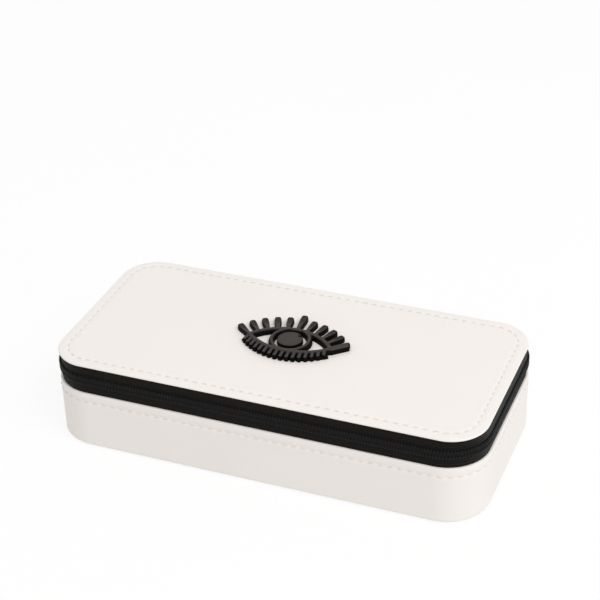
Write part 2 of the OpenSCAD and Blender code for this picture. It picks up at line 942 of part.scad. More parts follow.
// Puller: a flat tab that hangs on the arch's leg by its eye
module puller() {
    top = slider_gap - coil_d + slider_plate_t;
    x0 = top + (arch_room - puller_t) / 2;
    drop = puller_hole_r - leg_r - loop_gap;
    tip_z = -puller_l + puller_r;
    neck = puller_ring_r - 0.4;
    dish_z = -drop - puller_ring_r - 1.5;
    color(black)
        at_slider()
            translate([0, leg_u, 0])
                difference() {
                    slab_x(x0, x0 + puller_t) {
                        difference() {
                            union() {
                                translate([0, -drop])
                                    circle(puller_ring_r);
                                translate([0, tip_z])
                                    circle(puller_r);
                                polygon([
                                    [-neck, -drop], [0.3 - puller_r, tip_z],
                                    [puller_r - 0.3, tip_z], [neck, -drop]
                                ]);
                            }
                            translate([0, -drop])
                                circle(puller_hole_r);
                        }
                    }
                    slab_x(x0 + puller_t - puller_dish, x0 + puller_t + 1)
                        polygon([
                            [-1, dish_z], [puller_rim - puller_r, tip_z],
                            [puller_r - puller_rim, tip_z], [1, dish_z]
                        ]);
                }
}

// ---------------------------------------------------------------- assembly

base_underside();
base_board();
base_cover();
base_liner();
divider_left();
divider_right();
divider_end();
ring_bed();
ring_roll(0);  // ring_roll_1
ring_roll(1);  // ring_roll_2
ring_roll(2);  // ring_roll_3
ring_roll(3);  // ring_roll_4
ring_roll(4);  // ring_roll_5
lower_zip_tape();
lower_coil();
lower_top_stop();
bottom_stop();
hinge_strip();
lid_board();
lid_padding();
lid_cover();
lid_liner();
mirror_glass();  // mirror
upper_zip_tape();
upper_coil();
upper_top_stop();
eye_emblem();
eye_pupil();
slider();
puller();
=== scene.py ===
"""Looks of a zip-around travel jewelry box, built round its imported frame.

The frame gives the boards, covers, zip, lining and slider at their real size. The classes below
dress them: sewn leather-look covers, a coil zip on woven tapes, a moulded eye on the lid, and a
velvet inside with ring rolls and a mirror.
"""

import json
import logging
import math
from collections.abc import Iterator, Sequence
from contextlib import contextmanager
from dataclasses import dataclass, field
from enum import Enum

import bmesh
import bpy
import numpy as np
from mathutils import Matrix, Vector

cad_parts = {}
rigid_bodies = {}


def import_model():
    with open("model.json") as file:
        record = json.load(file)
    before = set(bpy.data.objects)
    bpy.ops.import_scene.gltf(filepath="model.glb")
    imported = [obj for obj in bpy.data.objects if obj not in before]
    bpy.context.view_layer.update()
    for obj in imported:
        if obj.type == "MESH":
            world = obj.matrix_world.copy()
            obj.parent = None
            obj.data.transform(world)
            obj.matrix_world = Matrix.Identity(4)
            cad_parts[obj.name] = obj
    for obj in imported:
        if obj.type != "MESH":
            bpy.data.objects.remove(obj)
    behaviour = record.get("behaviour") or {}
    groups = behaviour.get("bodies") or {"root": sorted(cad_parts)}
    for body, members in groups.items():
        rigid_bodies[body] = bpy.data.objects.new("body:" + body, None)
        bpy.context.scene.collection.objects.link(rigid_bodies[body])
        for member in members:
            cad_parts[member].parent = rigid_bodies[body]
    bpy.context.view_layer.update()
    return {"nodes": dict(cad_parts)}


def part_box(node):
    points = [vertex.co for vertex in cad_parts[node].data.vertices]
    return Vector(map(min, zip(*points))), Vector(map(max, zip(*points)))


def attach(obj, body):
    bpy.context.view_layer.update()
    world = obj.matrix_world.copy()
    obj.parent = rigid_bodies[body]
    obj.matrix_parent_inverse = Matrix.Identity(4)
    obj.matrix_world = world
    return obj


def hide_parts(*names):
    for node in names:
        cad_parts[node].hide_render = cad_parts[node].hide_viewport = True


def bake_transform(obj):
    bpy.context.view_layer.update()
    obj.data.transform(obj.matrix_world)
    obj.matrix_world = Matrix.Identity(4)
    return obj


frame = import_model()

log = logging.getLogger("jewelry_box")
MM = 0.001
PAINTED_LIGHT = "Top"
RUN = "Run"
Values = dict[str | int, object] | None


def put(owner: object, **values: object) -> None:
    """Sets several properties of one of Blender's things."""
    for key, value in values.items():
        setattr(owner, key, value)


# ---------------------------------------------------------------- numbers


def ramp(value: np.ndarray, low: float, span: float) -> np.ndarray:
    """Rises from 0 at low to 1 a span further on."""
    return np.clip((value - low) / span, 0, 1)


def bell(value: np.ndarray, width: float, power: int = 2) -> np.ndarray:
    """Smooth hump about 0 of about the given half width, flatter with a higher even power."""
    return np.exp(-((value / width) ** power))


def squared(value: np.ndarray, power: float) -> np.ndarray:
    """A sine or cosine with its sign kept and its rounding squared off by a power under 1."""
    return np.sign(value) * np.abs(value) ** power


def compass(angle: np.ndarray) -> np.ndarray:
    """Unit vectors at angles in radians, (n, 2)."""
    return np.stack([np.cos(angle), np.sin(angle)], axis=1)


def ring(sides: int) -> np.ndarray:
    """Angles round a closed ring, in radians."""
    return np.linspace(0, 2 * math.pi, sides, endpoint=False)


def arc_points(
    centre: Sequence[float], radius: float, start: float, end: float, steps: int
) -> np.ndarray:
    """Points of an arc, from one angle to another, in degrees."""
    angle = np.radians(np.linspace(start, end, steps + 1))
    return np.array(centre) + radius * compass(angle)


def line_points(start: Sequence[float], end: Sequence[float], steps: int) -> np.ndarray:
    """Points of a straight line, its ends included."""
    share = np.linspace(0, 1, steps + 1)[:, None]
    return np.array(start) * (1 - share) + np.array(end) * share


def unit(vectors: np.ndarray) -> np.ndarray:
    """The vectors, each made 1 long."""
    return vectors / np.linalg.norm(vectors, axis=1, keepdims=True)


def tube(
    path: np.ndarray, out: np.ndarray, up: np.ndarray, wide: np.ndarray, thick: float, sides: int
) -> np.ndarray:
    """Rings of points round a path.

    Args:
        path: the middle of the wire, (n, 3).
        out: unit vectors across it, (n, 3).
        up: unit vectors square to those, (n, 3).
        wide: radius along out at each point.
        thick: radius along up.
        sides: points of a ring.

    Returns:
        The grid of points, (n, sides, 3).
    """
    turn = ring(sides)[None, :, None]
    across = wide[:, None, None] * np.cos(turn) * out[:, None]
    return path[:, None] + across + thick * np.sin(turn) * up[:, None]


# ---------------------------------------------------------------- node graphs


class Sock:
    """A node's output that takes part in Python arithmetic by adding Math nodes."""

    def __init__(self, graph: "Graph", socket: bpy.types.NodeSocket) -> None:
        """Keeps the graph that new nodes go to and the socket itself."""
        self.graph, self.socket = graph, socket

    def _math(self, operation: str, *values: "Sock | float") -> "Sock":
        """Result of a Math node on numbers or sockets, in the node's order."""
        return self.graph.node("ShaderNodeMath", {"operation": operation}, dict(enumerate(values)))

    def __add__(self, other: "Sock | float") -> "Sock":
        """Sum."""
        return self._math("ADD", self, other)

    __radd__ = __add__

    def __mul__(self, other: "Sock | float") -> "Sock":
        """Product."""
        return self._math("MULTIPLY", self, other)

    __rmul__ = __mul__

    def __sub__(self, other: "Sock | float") -> "Sock":
        """Difference."""
        return self._math("SUBTRACT", self, other)

    def __rsub__(self, other: float) -> "Sock":
        """Difference from a number."""
        return self._math("SUBTRACT", other, self)

    def __truediv__(self, other: "Sock | float") -> "Sock":
        """Quotient."""
        return self._math("DIVIDE", self, other)

    def __rtruediv__(self, other: float) -> "Sock":
        """Quotient of a number."""
        return self._math("DIVIDE", other, self)

    def __abs__(self) -> "Sock":
        """Absolute value."""
        return self._math("ABSOLUTE", self)

    def fract(self) -> "Sock":
        """Part after the point."""
        return self._math("FRACT", self)

    def most(self, other: "Sock | float") -> "Sock":
        """The larger of the two."""
        return self._math("MAXIMUM", self, other)

    def step(self, low: float, high: float) -> "Sock":
        """Smooth step from 0 at low to 1 at high."""
        inputs = {"Value": self, "From Min": low, "From Max": high}
        return self.graph.node("ShaderNodeMapRange", {"interpolation_type": "SMOOTHSTEP"}, inputs)


class Graph:
    """A node tree under construction, for a material or for geometry."""

    def __init__(self, tree: bpy.types.NodeTree) -> None:
        """Keeps the tree."""
        self.tree = tree

    def feed(self, node: bpy.types.Node, inputs: Values) -> None:
        """Links or sets a node's inputs.

        Args:
            node: the node.
            inputs: a value, a Sock or a socket for each input's name or number.
        """
        for key, value in (inputs or {}).items():
            value = value.socket if isinstance(value, Sock) else value
            if isinstance(value, bpy.types.NodeSocket):
                self.tree.links.new(value, node.inputs[key])
            else:
                node.inputs[key].default_value = value

    def add(self, kind: str, settings: Values = None, inputs: Values = None) -> bpy.types.Node:
        """Adds one node.

        Args:
            kind: the node's type name.
            settings: its properties, which are set before the sockets.
            inputs: a value, a Sock or a socket for each input's name or number.

        Returns:
            The new node.
        """
        made = self.tree.nodes.new(kind)
        put(made, **(settings or {}))
        self.feed(made, inputs)
        return made

    def node(
        self, kind: str, settings: Values = None, inputs: Values = None, output: str | int = 0
    ) -> Sock:
        """Adds one node and gives the output of the given name or number."""
        return Sock(self, self.add(kind, settings, inputs).outputs[output])

    def run(self) -> tuple[Sock, Sock]:
        """The piece's own UV map.

        Returns:
            Metres along the piece and metres across it.
        """
        uv = self.node("ShaderNodeUVMap", {"uv_map": RUN})
        split = self.add("ShaderNodeSeparateXYZ", inputs={0: uv})
        return Sock(self, split.outputs["X"]), Sock(self, split.outputs["Y"])

    def seen(self) -> Sock:
        """Picks the rays that show the background.

        Returns:
            1 for a ray from the camera, straight or by way of a mirror or glass, else 0.
        """
        path = self.add("ShaderNodeLightPath")
        kinds = ("Camera", "Glossy", "Transmission")
        camera, glossy, clear = (Sock(self, path.outputs[f"Is {kind} Ray"]) for kind in kinds)
        return camera.most(glossy).most(clear)

    def place(self) -> Sock:
        """Object coordinates, in metres."""
        return self.node("ShaderNodeTexCoord", output="Object")

    def noise(self, size: float, detail: float) -> Sock:
        """Noise from 0 to 1 with features of a size in metres and a number of finer layers."""
        inputs = {"Vector": self.place(), "Scale": 1 / size, "Detail": detail}
        return self.node("ShaderNodeTexNoise", inputs=inputs)

    def cells(self, size: float) -> Sock:
        """Rounded cells of about the given width in metres: 0 at their middles."""
        inputs = {"Vector": self.place(), "Scale": 1 / size, "Smoothness": 0.35}
        return self.node("ShaderNodeTexVoronoi", {"feature": "SMOOTH_F1"}, inputs, "Distance")

    def tint(self, factor: Sock, low: Sequence[float], high: Sequence[float]) -> Sock:
        """Colour between low and high, by a factor from 0 to 1."""
        inputs = {0: factor, 6: (*low, 1), 7: (*high, 1)}
        return self.node("ShaderNodeMix", {"data_type": "RGBA"}, inputs, 2)

    def bump(self, height: Sock, depth: float, strength: float, under: Sock | None = None) -> Sock:
        """Bumps a normal.

        Args:
            height: the height, from 0 to 1.
            depth: what a height of 1 stands for, in metres.
            strength: how much of it shows.
            under: the normal that is bumped, or None for the mesh's own.

        Returns:
            The bumped normal.
        """
        inputs = {"Height": height, "Distance": depth, "Strength": strength}
        if under is not None:
            inputs["Normal"] = under
        return self.node("ShaderNodeBump", inputs=inputs)


# ---------------------------------------------------------------- finishes


@dataclass(frozen=True)
class Finish:
    """A surface: its colour, how rough it is and what its shader keeps constant."""

    name: str
    slot: str
    color: tuple[float, float, float]
    roughness: float
    shine: float = 0.5
    sheen: float = 0.0
    sheen_spread: float = 0.5
    coat: float = 0.0
    coat_rough: float = 0.3
    metal: float = 0.0

    def material(self) -> bpy.types.Material:
        """Makes the material once.

        Returns:
            The material, which the pieces share.
        """
        if self.name in bpy.data.materials:
            return bpy.data.materials[self.name]
        made = bpy.data.materials.new(self.name)
        put(made, use_nodes=True, diffuse_color=(*self.color, 1))
        graph = Graph(made.node_tree)
        surface = made.node_tree.nodes["Principled BSDF"]
        graph.feed(surface, {
            "Base Color": (*self.color, 1), "Roughness": self.roughness, "Metallic": self.metal,
            "Specular IOR Level": self.shine, "Sheen Weight": self.sheen,
            "Sheen Roughness": self.sheen_spread, "Coat Weight": self.coat,
            "Coat Roughness": self.coat_rough,
        })
        graph.feed(surface, self.grain(graph))
        return made

    def grain(self, graph: Graph) -> dict[str, Sock]:
        """What changes over the surface, by the shader's socket. Each finish has its own."""
        raise NotImplementedError

    def tones(self, graph: Graph, tone: Sock, low: float, high: float) -> Sock:
        """The finish's colour times low where the tone is 0 and times high where it is 1."""
        dark, light = ([min(1.0, c * factor) for c in self.color] for factor in (low, high))
        return graph.tint(tone, dark, light)

    def rough(self, tone: Sock, spread: float) -> Sock:
        """The finish's roughness, with a spread about it that follows the tone."""
        return tone * spread + (self.roughness - spread / 2)


@dataclass(frozen=True)
class Leather(Finish):
    """Leather-look sheet with a fine pebbled grain and soft unevenness."""

    shine: float = 0.34
    pebble: float = 0.75 * MM
    pore: float = 0.22 * MM
    patch: float = 26 * MM

    def grain(self, graph: Graph) -> dict[str, Sock]:
        """Pebbles, pores and a slow change of tone.

        Args:
            graph: the material's graph.

        Returns:
            What changes over the surface, by the shader's socket.
        """
        pebbles = graph.cells(self.pebble)
        pores = graph.noise(self.pore, 3)
        slow = graph.noise(self.patch, 2)
        tone = slow * 0.6 + pebbles * 0.25 + pores * 0.15
        height = (1 - pebbles) * 0.75 + pores * 0.25
        ripple = graph.bump(slow, 0.35 * MM, 0.25)
        return {
            "Base Color": self.tones(graph, tone, 0.975, 1.02),
            "Roughness": pores * 0.12 + slow * 0.08 + (self.roughness - 0.1),
            "Normal": graph.bump(height, 0.035 * MM, 0.45, ripple),
        }


@dataclass(frozen=True)
class Weave(Finish):
    """Woven tape: a herringbone of fine threads along the piece's own UV map."""

    shine: float = 0.04
    sheen: float = 0.13
    sheen_spread: float = 0.4
    thread: float = 0.7 * MM
    band: float = 1.3 * MM

    def grain(self, graph: Graph) -> dict[str, Sock]:
        """Slanting threads that change direction from band to band.

        Args:
            graph: the material's graph.

        Returns:
            What changes over the surface, by the shader's socket.
        """
        along, across = graph.run()
        place = (across / self.band).fract()
        slant = abs(place - 0.5) * 2 * self.band / self.thread
        ridge = abs((along / self.thread + slant).fract() - 0.5) * 2
        weft = abs((across / (0.8 * self.thread)).fract() - 0.5) * 2
        cloth = ridge * 0.7 + weft * 0.3
        fuzz = graph.noise(0.3 * MM, 3)
        stripe = place.step(0.4, 0.6)
        # Painted light and shade: lighter on the raised threads and on the bands of one slant,
        # darker between the threads; the fuzz adds tone that differs at random.
        tone = (cloth * 0.55 + fuzz * 0.25 + stripe * 0.2).step(0.2, 0.8)
        return {
            "Base Color": self.tones(graph, tone, 0.1, 2.4),
            "Roughness": self.rough(fuzz, 0.2),
            "Normal": graph.bump(cloth, 0.12 * MM, 0.8, graph.bump(fuzz, 0.05 * MM, 0.4)),
        }


@dataclass(frozen=True)
class Velvet(Finish):
    """Short pile with brushed patches and a soft sheen."""

    shine: float = 0.15
    sheen: float = 0.6
    sheen_spread: float = 0.35
    pile: float = 0.28 * MM
    patch: float = 9 * MM

    def grain(self, graph: Graph) -> dict[str, Sock]:
        """Pile tips and patches where it is brushed one way or the other.

        Args:
            graph: the material's graph.

        Returns:
            What changes over the surface, by the shader's socket.
        """
        tips = graph.noise(self.pile, 3)
        brushed = graph.noise(self.patch, 3).step(0.35, 0.65)
        return {
            "Base Color": self.tones(graph, tips * 0.45 + brushed * 0.55, 0.82, 1.1),
            "Roughness": self.rough(brushed, 0.08),
            "Normal": graph.bump(tips, 0.12 * MM, 0.6, graph.bump(brushed, 0.1 * MM, 0.3)),
        }


@dataclass(frozen=True)
class Moulded(Finish):
    """Smooth moulded nylon or paint with a faint orange-peel skin and handling marks."""

    skin: float = 0.4 * MM

    def grain(self, graph: Graph) -> dict[str, Sock]:
        """A faint skin and uneven gloss.

        Args:
            graph: the material's graph.

        Returns:
            What changes over the surface, by the shader's socket.
        """
        dust = graph.noise(3 * MM, 4)
        return {
            "Base Color": self.tones(graph, dust, 0.8, 1.25),
            "Roughness": self.rough(dust, 0.14),
            "Normal": graph.bump(graph.noise(self.skin, 2), 0.02 * MM, 0.35),
        }


@dataclass(frozen=True)
class Rubber(Finish):
    """Dull moulded rubber with painted light: grey on its tops, near black down its walls and on
    its low parts as painted shade.
    """

    shine: float = 0.07
    wall_shade: float = 0.03

    def grain(self, graph: Graph) -> dict[str, Sock]:
        """Painted light and shade from the mesh's own attribute, with a fine skin.

        Args:
            graph: the material's graph.

        Returns:
            What changes over the surface, by the shader's socket.
        """
        top = graph.node("ShaderNodeAttribute", {"attribute_name": PAINTED_LIGHT}, output="Fac")
        dust = graph.noise(2.5 * MM, 4)
        return {
            # Painted light: the full colour on high faces that look up, a small share of it as
            # painted shade down walls and on low parts; the dust varies the tone at random.
            "Base Color": self.tones(graph, top * (dust * 0.5 + 0.75), self.wall_shade, 1),
            "Roughness": self.rough(dust, 0.12),
            "Normal": graph.bump(graph.noise(0.35 * MM, 2), 0.03 * MM, 0.4),
        }


@dataclass(frozen=True)
class Board(Finish):
    """Pressed board or foam: short fibres and specks."""

    fibre: float = 0.6 * MM
    layers: float = 5
    shades: tuple[float, float] = (0.75, 1.2)
    relief: tuple[float, float] = (0.08 * MM, 0.5)

    def grain(self, graph: Graph) -> dict[str, Sock]:
        """Fibres and specks.

        Args:
            graph: the material's graph.

        Returns:
            What changes over the surface, by the shader's socket.
        """
        fibres = graph.noise(self.fibre, self.layers)
        return {
            "Base Color": self.tones(graph, fibres, *self.shades),
            "Roughness": self.rough(fibres, 0.1),
            "Normal": graph.bump(fibres, *self.relief),
        }


@dataclass(frozen=True)
class Thread(Board):
    """Sewing thread: plies that show as a fine twist."""

    shine: float = 0.33
    fibre: float = 0.3 * MM
    layers: float = 2
    shades: tuple[float, float] = (0.88, 1.04)
    relief: tuple[float, float] = (0.05 * MM, 0.6)


@dataclass(frozen=True)
class Silvered(Finish):
    """Mirror glass with a breath of haze."""

    metal: float = 1.0

    def grain(self, graph: Graph) -> dict[str, Sock]:
        """Haze that changes slowly over the glass.

        Args:
            graph: the material's graph.

        Returns:
            What changes over the surface, by the shader's socket.
        """
        haze = graph.noise(18 * MM, 3)
        return {
            "Base Color": self.tones(graph, haze, 0.97, 1),
            "Roughness": haze.step(0.5, 0.9) * 0.04 + self.roughness,
        }


COVER = Leather("off_white_leather", "cover", (0.84, 0.8, 0.765), 0.5)
STITCH = Thread("off_white_thread", "cover", (0.75, 0.72, 0.7), 0.6)
TAPE = Weave("black_tape", "zip_tape", (0.0072, 0.0064, 0.0058), 0.75)
SEWING = Thread("black_sewing", "zip_tape", (0.01, 0.0095, 0.01), 0.7)
COIL = Moulded("black_nylon", "zip_coil", (0.0085, 0.008, 0.0085), 0.36, shine=0.14)
METAL = Moulded("black_paint", "zip_metal", (0.016, 0.0158, 0.016), 0.3, coat=0.3, skin=0.6 * MM)
# The badge's colour is that of its lit tops; walls and low parts take a small share of it as
# painted shade.
BADGE = Rubber("black_badge", "badge", (0.058, 0.0515, 0.049), 0.6)
LINING = Velvet("beige_velvet", "lining", (0.52, 0.44, 0.375), 0.85)
BOARD = Board("fibreboard", "board", (0.3, 0.25, 0.2), 0.8)
FOAM = Board("foam", "foam", (0.72, 0.7, 0.63), 0.9)
MIRROR = Silvered("mirror_silver", "mirror", (0.9, 0.92, 0.93), 0.015)


# ---------------------------------------------------------------- sizes


@dataclass(frozen=True)
class Case:
    """Heights and thicknesses that the pieces share, in metres."""

    foot: float
    base_top: float
    band_top: float
    top: float
    cover_t: float = 1.0 * MM
    tape_t: float = 0.6 * MM

    @property
    def zip_z(self) -> float:
        """Height of the zip's centre line."""
        return (self.base_top + self.band_top) / 2


# The base cover's foot and top, then the lid cover's underside and top.
CASE = Case(*(corner.z for node in ("base_cover", "lid_cover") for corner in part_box(node)))


@dataclass(frozen=True)
class Outline:
    """Rounded rectangle, run anticlockwise from the middle of the back."""

    length: float
    width: float
    corner: float

    @classmethod
    def of(cls, node: str, corner: float) -> "Outline":
        """Outline of a CAD node with the given corner radius."""
        low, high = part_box(node)
        return cls(high.x - low.x, high.y - low.y, corner)

    def inset(self, depth: float) -> "Outline":
        """The same outline, drawn in by a depth."""
        return Outline(self.length - 2 * depth, self.width - 2 * depth, self.corner - depth)

    def stretches(self) -> list[tuple]:
        """Straight and round stretches, in order.

        Returns:
            For a straight one its start, direction and length, and for a round one its centre,
            first angle in degrees and length.
        """
        r = self.corner
        x, y = self.length / 2 - r, self.width / 2 - r
        turn = r * math.pi / 2
        return [
            ((0, y + r), (-1, 0), x), ((-x, y), 90, turn),
            ((-x - r, y), (0, -1), 2 * y), ((-x, -y), 180, turn),
            ((-x, -y - r), (1, 0), 2 * x), ((x, -y), 270, turn),
            ((x + r, -y), (0, 1), 2 * y), ((x, y), 0, turn),
            ((x, y + r), (-1, 0), x),
        ]

    def starts(self) -> list[float]:
        """Distance along the outline at which each stretch starts, and the whole length."""
        return list(np.cumsum([0] + [length for _, _, length in self.stretches()]))

    def at(self, run: np.ndarray) -> tuple[np.ndarray, np.ndarray]:
        """Where the outline is.

        Args:
            run: distances along the outline.

        Returns:
            Points and outward normals, each (n, 2).
        """
        starts = self.starts()
        run = np.mod(run, starts[-1])
        points, normals = np.zeros((2, len(run), 2))
        for start, (where, way, length) in zip(starts, self.stretches()):
            on = (run >= start) & (run <= start + length)
            along = run[on] - start
            if isinstance(way, tuple):
                points[on] = np.array(where) + along[:, None] * np.array(way)
                normals[on] = (way[1], -way[0])
            else:
                normals[on] = compass(math.radians(way) + along / self.corner)
                points[on] = np.array(where) + self.corner * normals[on]
        return points, normals


BASE_LINE = Outline.of("base_cover", 20 * MM)
LID_LINE = Outline.of("lid_cover", 17 * MM)


# ---------------------------------------------------------------- meshes


@contextmanager
def edited(mesh: bpy.types.Mesh) -> Iterator[bmesh.types.BMesh]:
    """Opens a mesh for editing and writes it back.

    Args:
        mesh: the mesh.

    Yields:
        What is edited.
    """
    bm = bmesh.new()
    bm.from_mesh(mesh)
    yield bm
    bm.to_mesh(mesh)
    bm.free()


def linked(name: str, data: bpy.types.ID) -> bpy.types.Object:
    """Links an object into the scene.

    Args:
        name: the object's name.
        data: its mesh, camera or lamp.

    Returns:
        The object.
    """
    made = bpy.data.objects.new(name, data)
    bpy.context.scene.collection.objects.link(made)
    return made


def new_object(name: str, mesh: bpy.types.Mesh, finish: Finish) -> bpy.types.Object:
    """Makes a piece from a mesh.

    Args:
        name: the piece's name.
        mesh: its mesh.
        finish: its finish.

    Returns:
        The piece.
    """
    mesh.materials.clear()
    mesh.materials.append(finish.material())
    return linked(name, mesh)


def placed(
    made: bpy.types.Object, body: str, node: str = ""
) -> bpy.types.Object:
    """Hides the CAD node that a piece replaces, if any, and sets the piece on its body.

    Args:
        made: the piece.
        body: the body that it rides on.
        node: the CAD node that it replaces, or nothing if it comes on top.

    Returns:
        The piece.
    """
    if node:
        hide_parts(node)
    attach(made, body)
    return made


def tidy(mesh: bpy.types.Mesh, sharp_deg: float, weld: float = 0.0) -> None:
    """Turns faces outwards and shades them smooth, apart from sharp edges.

    Args:
        mesh: the mesh to change.
        sharp_deg: an edge that turns by more than this stays sharp.
        weld: points closer than this are merged first, in metres.
    """
    with edited(mesh) as bm:
        if weld:
            bmesh.ops.remove_doubles(bm, verts=bm.verts, dist=weld)
        bmesh.ops.recalc_face_normals(bm, faces=bm.faces)
        for face in bm.faces:
            face.smooth = True
        for edge in bm.edges:
            edge.smooth = edge.calc_face_angle(0) < math.radians(sharp_deg)


def grid_mesh(
    points: np.ndarray, wrap_run: bool, wrap_section: bool,
    runs: np.ndarray | None = None, widths: np.ndarray | None = None,
) -> bpy.types.Mesh:
    """Skin of quads over a grid of points, with a UV map in metres.

    Args:
        points: grid of points, (stations, section points, 3).
        wrap_run: whether the last station joins the first.
        wrap_section: whether the last section point joins the first.
        runs: distance along the piece at each station, and at the end if it wraps.
        widths: distance along the section at each point, and at the end if it wraps.

    Returns:
        The mesh, with flat caps on a closed section's open ends.
    """
    n, k = points.shape[:2]
    runs = np.arange(n + 1) * MM if runs is None else runs
    widths = np.arange(k + 1) * MM if widths is None else widths
    rows, cols = np.arange(n if wrap_run else n - 1), np.arange(k if wrap_section else k - 1)
    i, j = (index.ravel() for index in np.meshgrid(rows, cols, indexing="ij"))
    corners = ((i, j), (i + 1, j), (i + 1, j + 1), (i, j + 1))
    faces = np.stack([a % n * k + b % k for a, b in corners], axis=1).tolist()
    places = [np.stack([runs[a], widths[b]], axis=1) for a, b in corners]
    uv = np.stack(places, axis=1).reshape(-1, 2)
    if wrap_section and not wrap_run:
        for station in (0, n - 1):
            faces.append([station * k + c for c in range(k)])
            uv = np.concatenate([uv, np.stack([np.full(k, runs[station]), widths[:k]], axis=1)])
    mesh = bpy.data.meshes.new("skin")
    mesh.from_pydata(points.reshape(-1, 3).tolist(), [], faces)
    mesh.uv_layers.new(name=RUN).data.foreach_set("uv", uv.astype(np.float32).ravel())
    mesh.update()
    return mesh


def sweep(
    line: Outline, runs: np.ndarray, section: np.ndarray,
    closed: bool = True, loop: bool = False, shift: np.ndarray | None = None,
) -> bpy.types.Mesh:
    """Sweeps a section along an outline.

    Args:
        line: the outline.
        runs: stations along it; the last one is the whole length if loop is set.
        section: section points (depth inwards, height), (k, 2).
        closed: whether the section is closed.
        loop: whether the sweep goes all the way round.
        shift: (depth, height) added to each point at each station, (n, k, 2).

    Returns:
        The mesh.
    """
    stations = runs[:-1] if loop else runs
    points, normals = line.at(stations)
    grid = np.broadcast_to(section, (len(stations), *section.shape))
    if shift is not None:
        grid = grid + shift
    flat = points[:, None] - normals[:, None] * grid[..., :1]
    ends = np.concatenate([section, section[:1]]) if closed else section
    widths = np.concatenate([[0], np.cumsum(np.linalg.norm(np.diff(ends, axis=0), axis=1))])
    return grid_mesh(np.concatenate([flat, grid[..., 1:]], axis=2), loop, closed, runs, widths)


def mark_painted_light(mesh: bpy.types.Mesh) -> None:
    """Stores painted light at each corner of the badge: from 0, painted shade, on walls and low
    parts to 1 on a level top that stands high.

    Args:
        mesh: the mesh.
    """
    # Painted shade: faces less than 1.3 mm over the lid, or that look sideways, fade to dark;
    # higher faces that look up get the painted light.
    floor, fade = CASE.top + 1.3 * MM, 1.1 * MM
    wall_shade, slope = 0.6, 0.35
    rise = np.zeros(len(mesh.loops) * 3, dtype=np.float32)
    mesh.corner_normals.foreach_get("vector", rise)
    places = np.zeros(len(mesh.vertices) * 3, dtype=np.float32)
    mesh.vertices.foreach_get("co", places)
    owner = np.zeros(len(mesh.loops), dtype=np.int32)
    mesh.loops.foreach_get("vertex_index", owner)
    share = ramp(rise[2::3], wall_shade, slope) * ramp(places[2::3][owner], floor, fade)
    layer = mesh.attributes.new(PAINTED_LIGHT, "FLOAT", "CORNER")
    layer.data.foreach_set("value", share.astype(np.float32))


def joined(parts: Sequence[bpy.types.Mesh]) -> bpy.types.Mesh:
    """Joins meshes.

    Args:
        parts: the meshes.

    Returns:
        One mesh with all of them.
    """
    mesh = bpy.data.meshes.new("joined")
    with edited(mesh) as bm:
        for part in parts:
            bm.from_mesh(part)
    return mesh


def baked(made: bpy.types.Object) -> bpy.types.Object:
    """Applies an object's modifiers and clears them.

    Args:
        made: the object.

    Returns:
        The same object.
    """
    graph = bpy.context.evaluated_depsgraph_get()
    mesh = bpy.data.meshes.new_from_object(made.evaluated_get(graph))
    made.modifiers.clear()
    made.data = mesh
    return made


def polished(
    node: str, name: str, finish: Finish, body: str, bevel: float, steps: int = 3,
) -> bpy.types.Object:
    """Copy of a CAD node with its edges rounded, which replaces the node.

    Args:
        node: the CAD node.
        name: the new piece's name.
        finish: its finish.
        body: the body that it rides on.
        bevel: width of the rounding, in metres.
        steps: segments of the rounding.

    Returns:
        The new piece.
    """
    mesh = frame["nodes"][node].data.copy()
    with edited(mesh) as bm:
        bmesh.ops.remove_doubles(bm, verts=bm.verts, dist=0.001 * MM)
        flat = [e for e in bm.edges if e.calc_face_angle(0) < math.radians(1)]
        bmesh.ops.dissolve_edges(bm, edges=flat, use_verts=True)
    if "custom_normal" in mesh.attributes:
        mesh.attributes.remove(mesh.attributes["custom_normal"])
    made = new_object(name, mesh, finish)
    put(
        made.modifiers.new("Rounding", "BEVEL"), width=bevel, segments=steps, limit_method="ANGLE",
        angle_limit=math.radians(35), use_clamp_overlap=True,
    )
    tidy(baked(made).data, 45)
    return placed(made, body, node)


def dress_node(node: str, finish: Finish) -> None:
    """Gives a CAD node its finish.

    Args:
        node: the node.
        finish: the finish.
    """
    slots = frame["nodes"][node].data.materials
    slots.clear()
    slots.append(finish.material())


# ---------------------------------------------------------------- repeats along a path


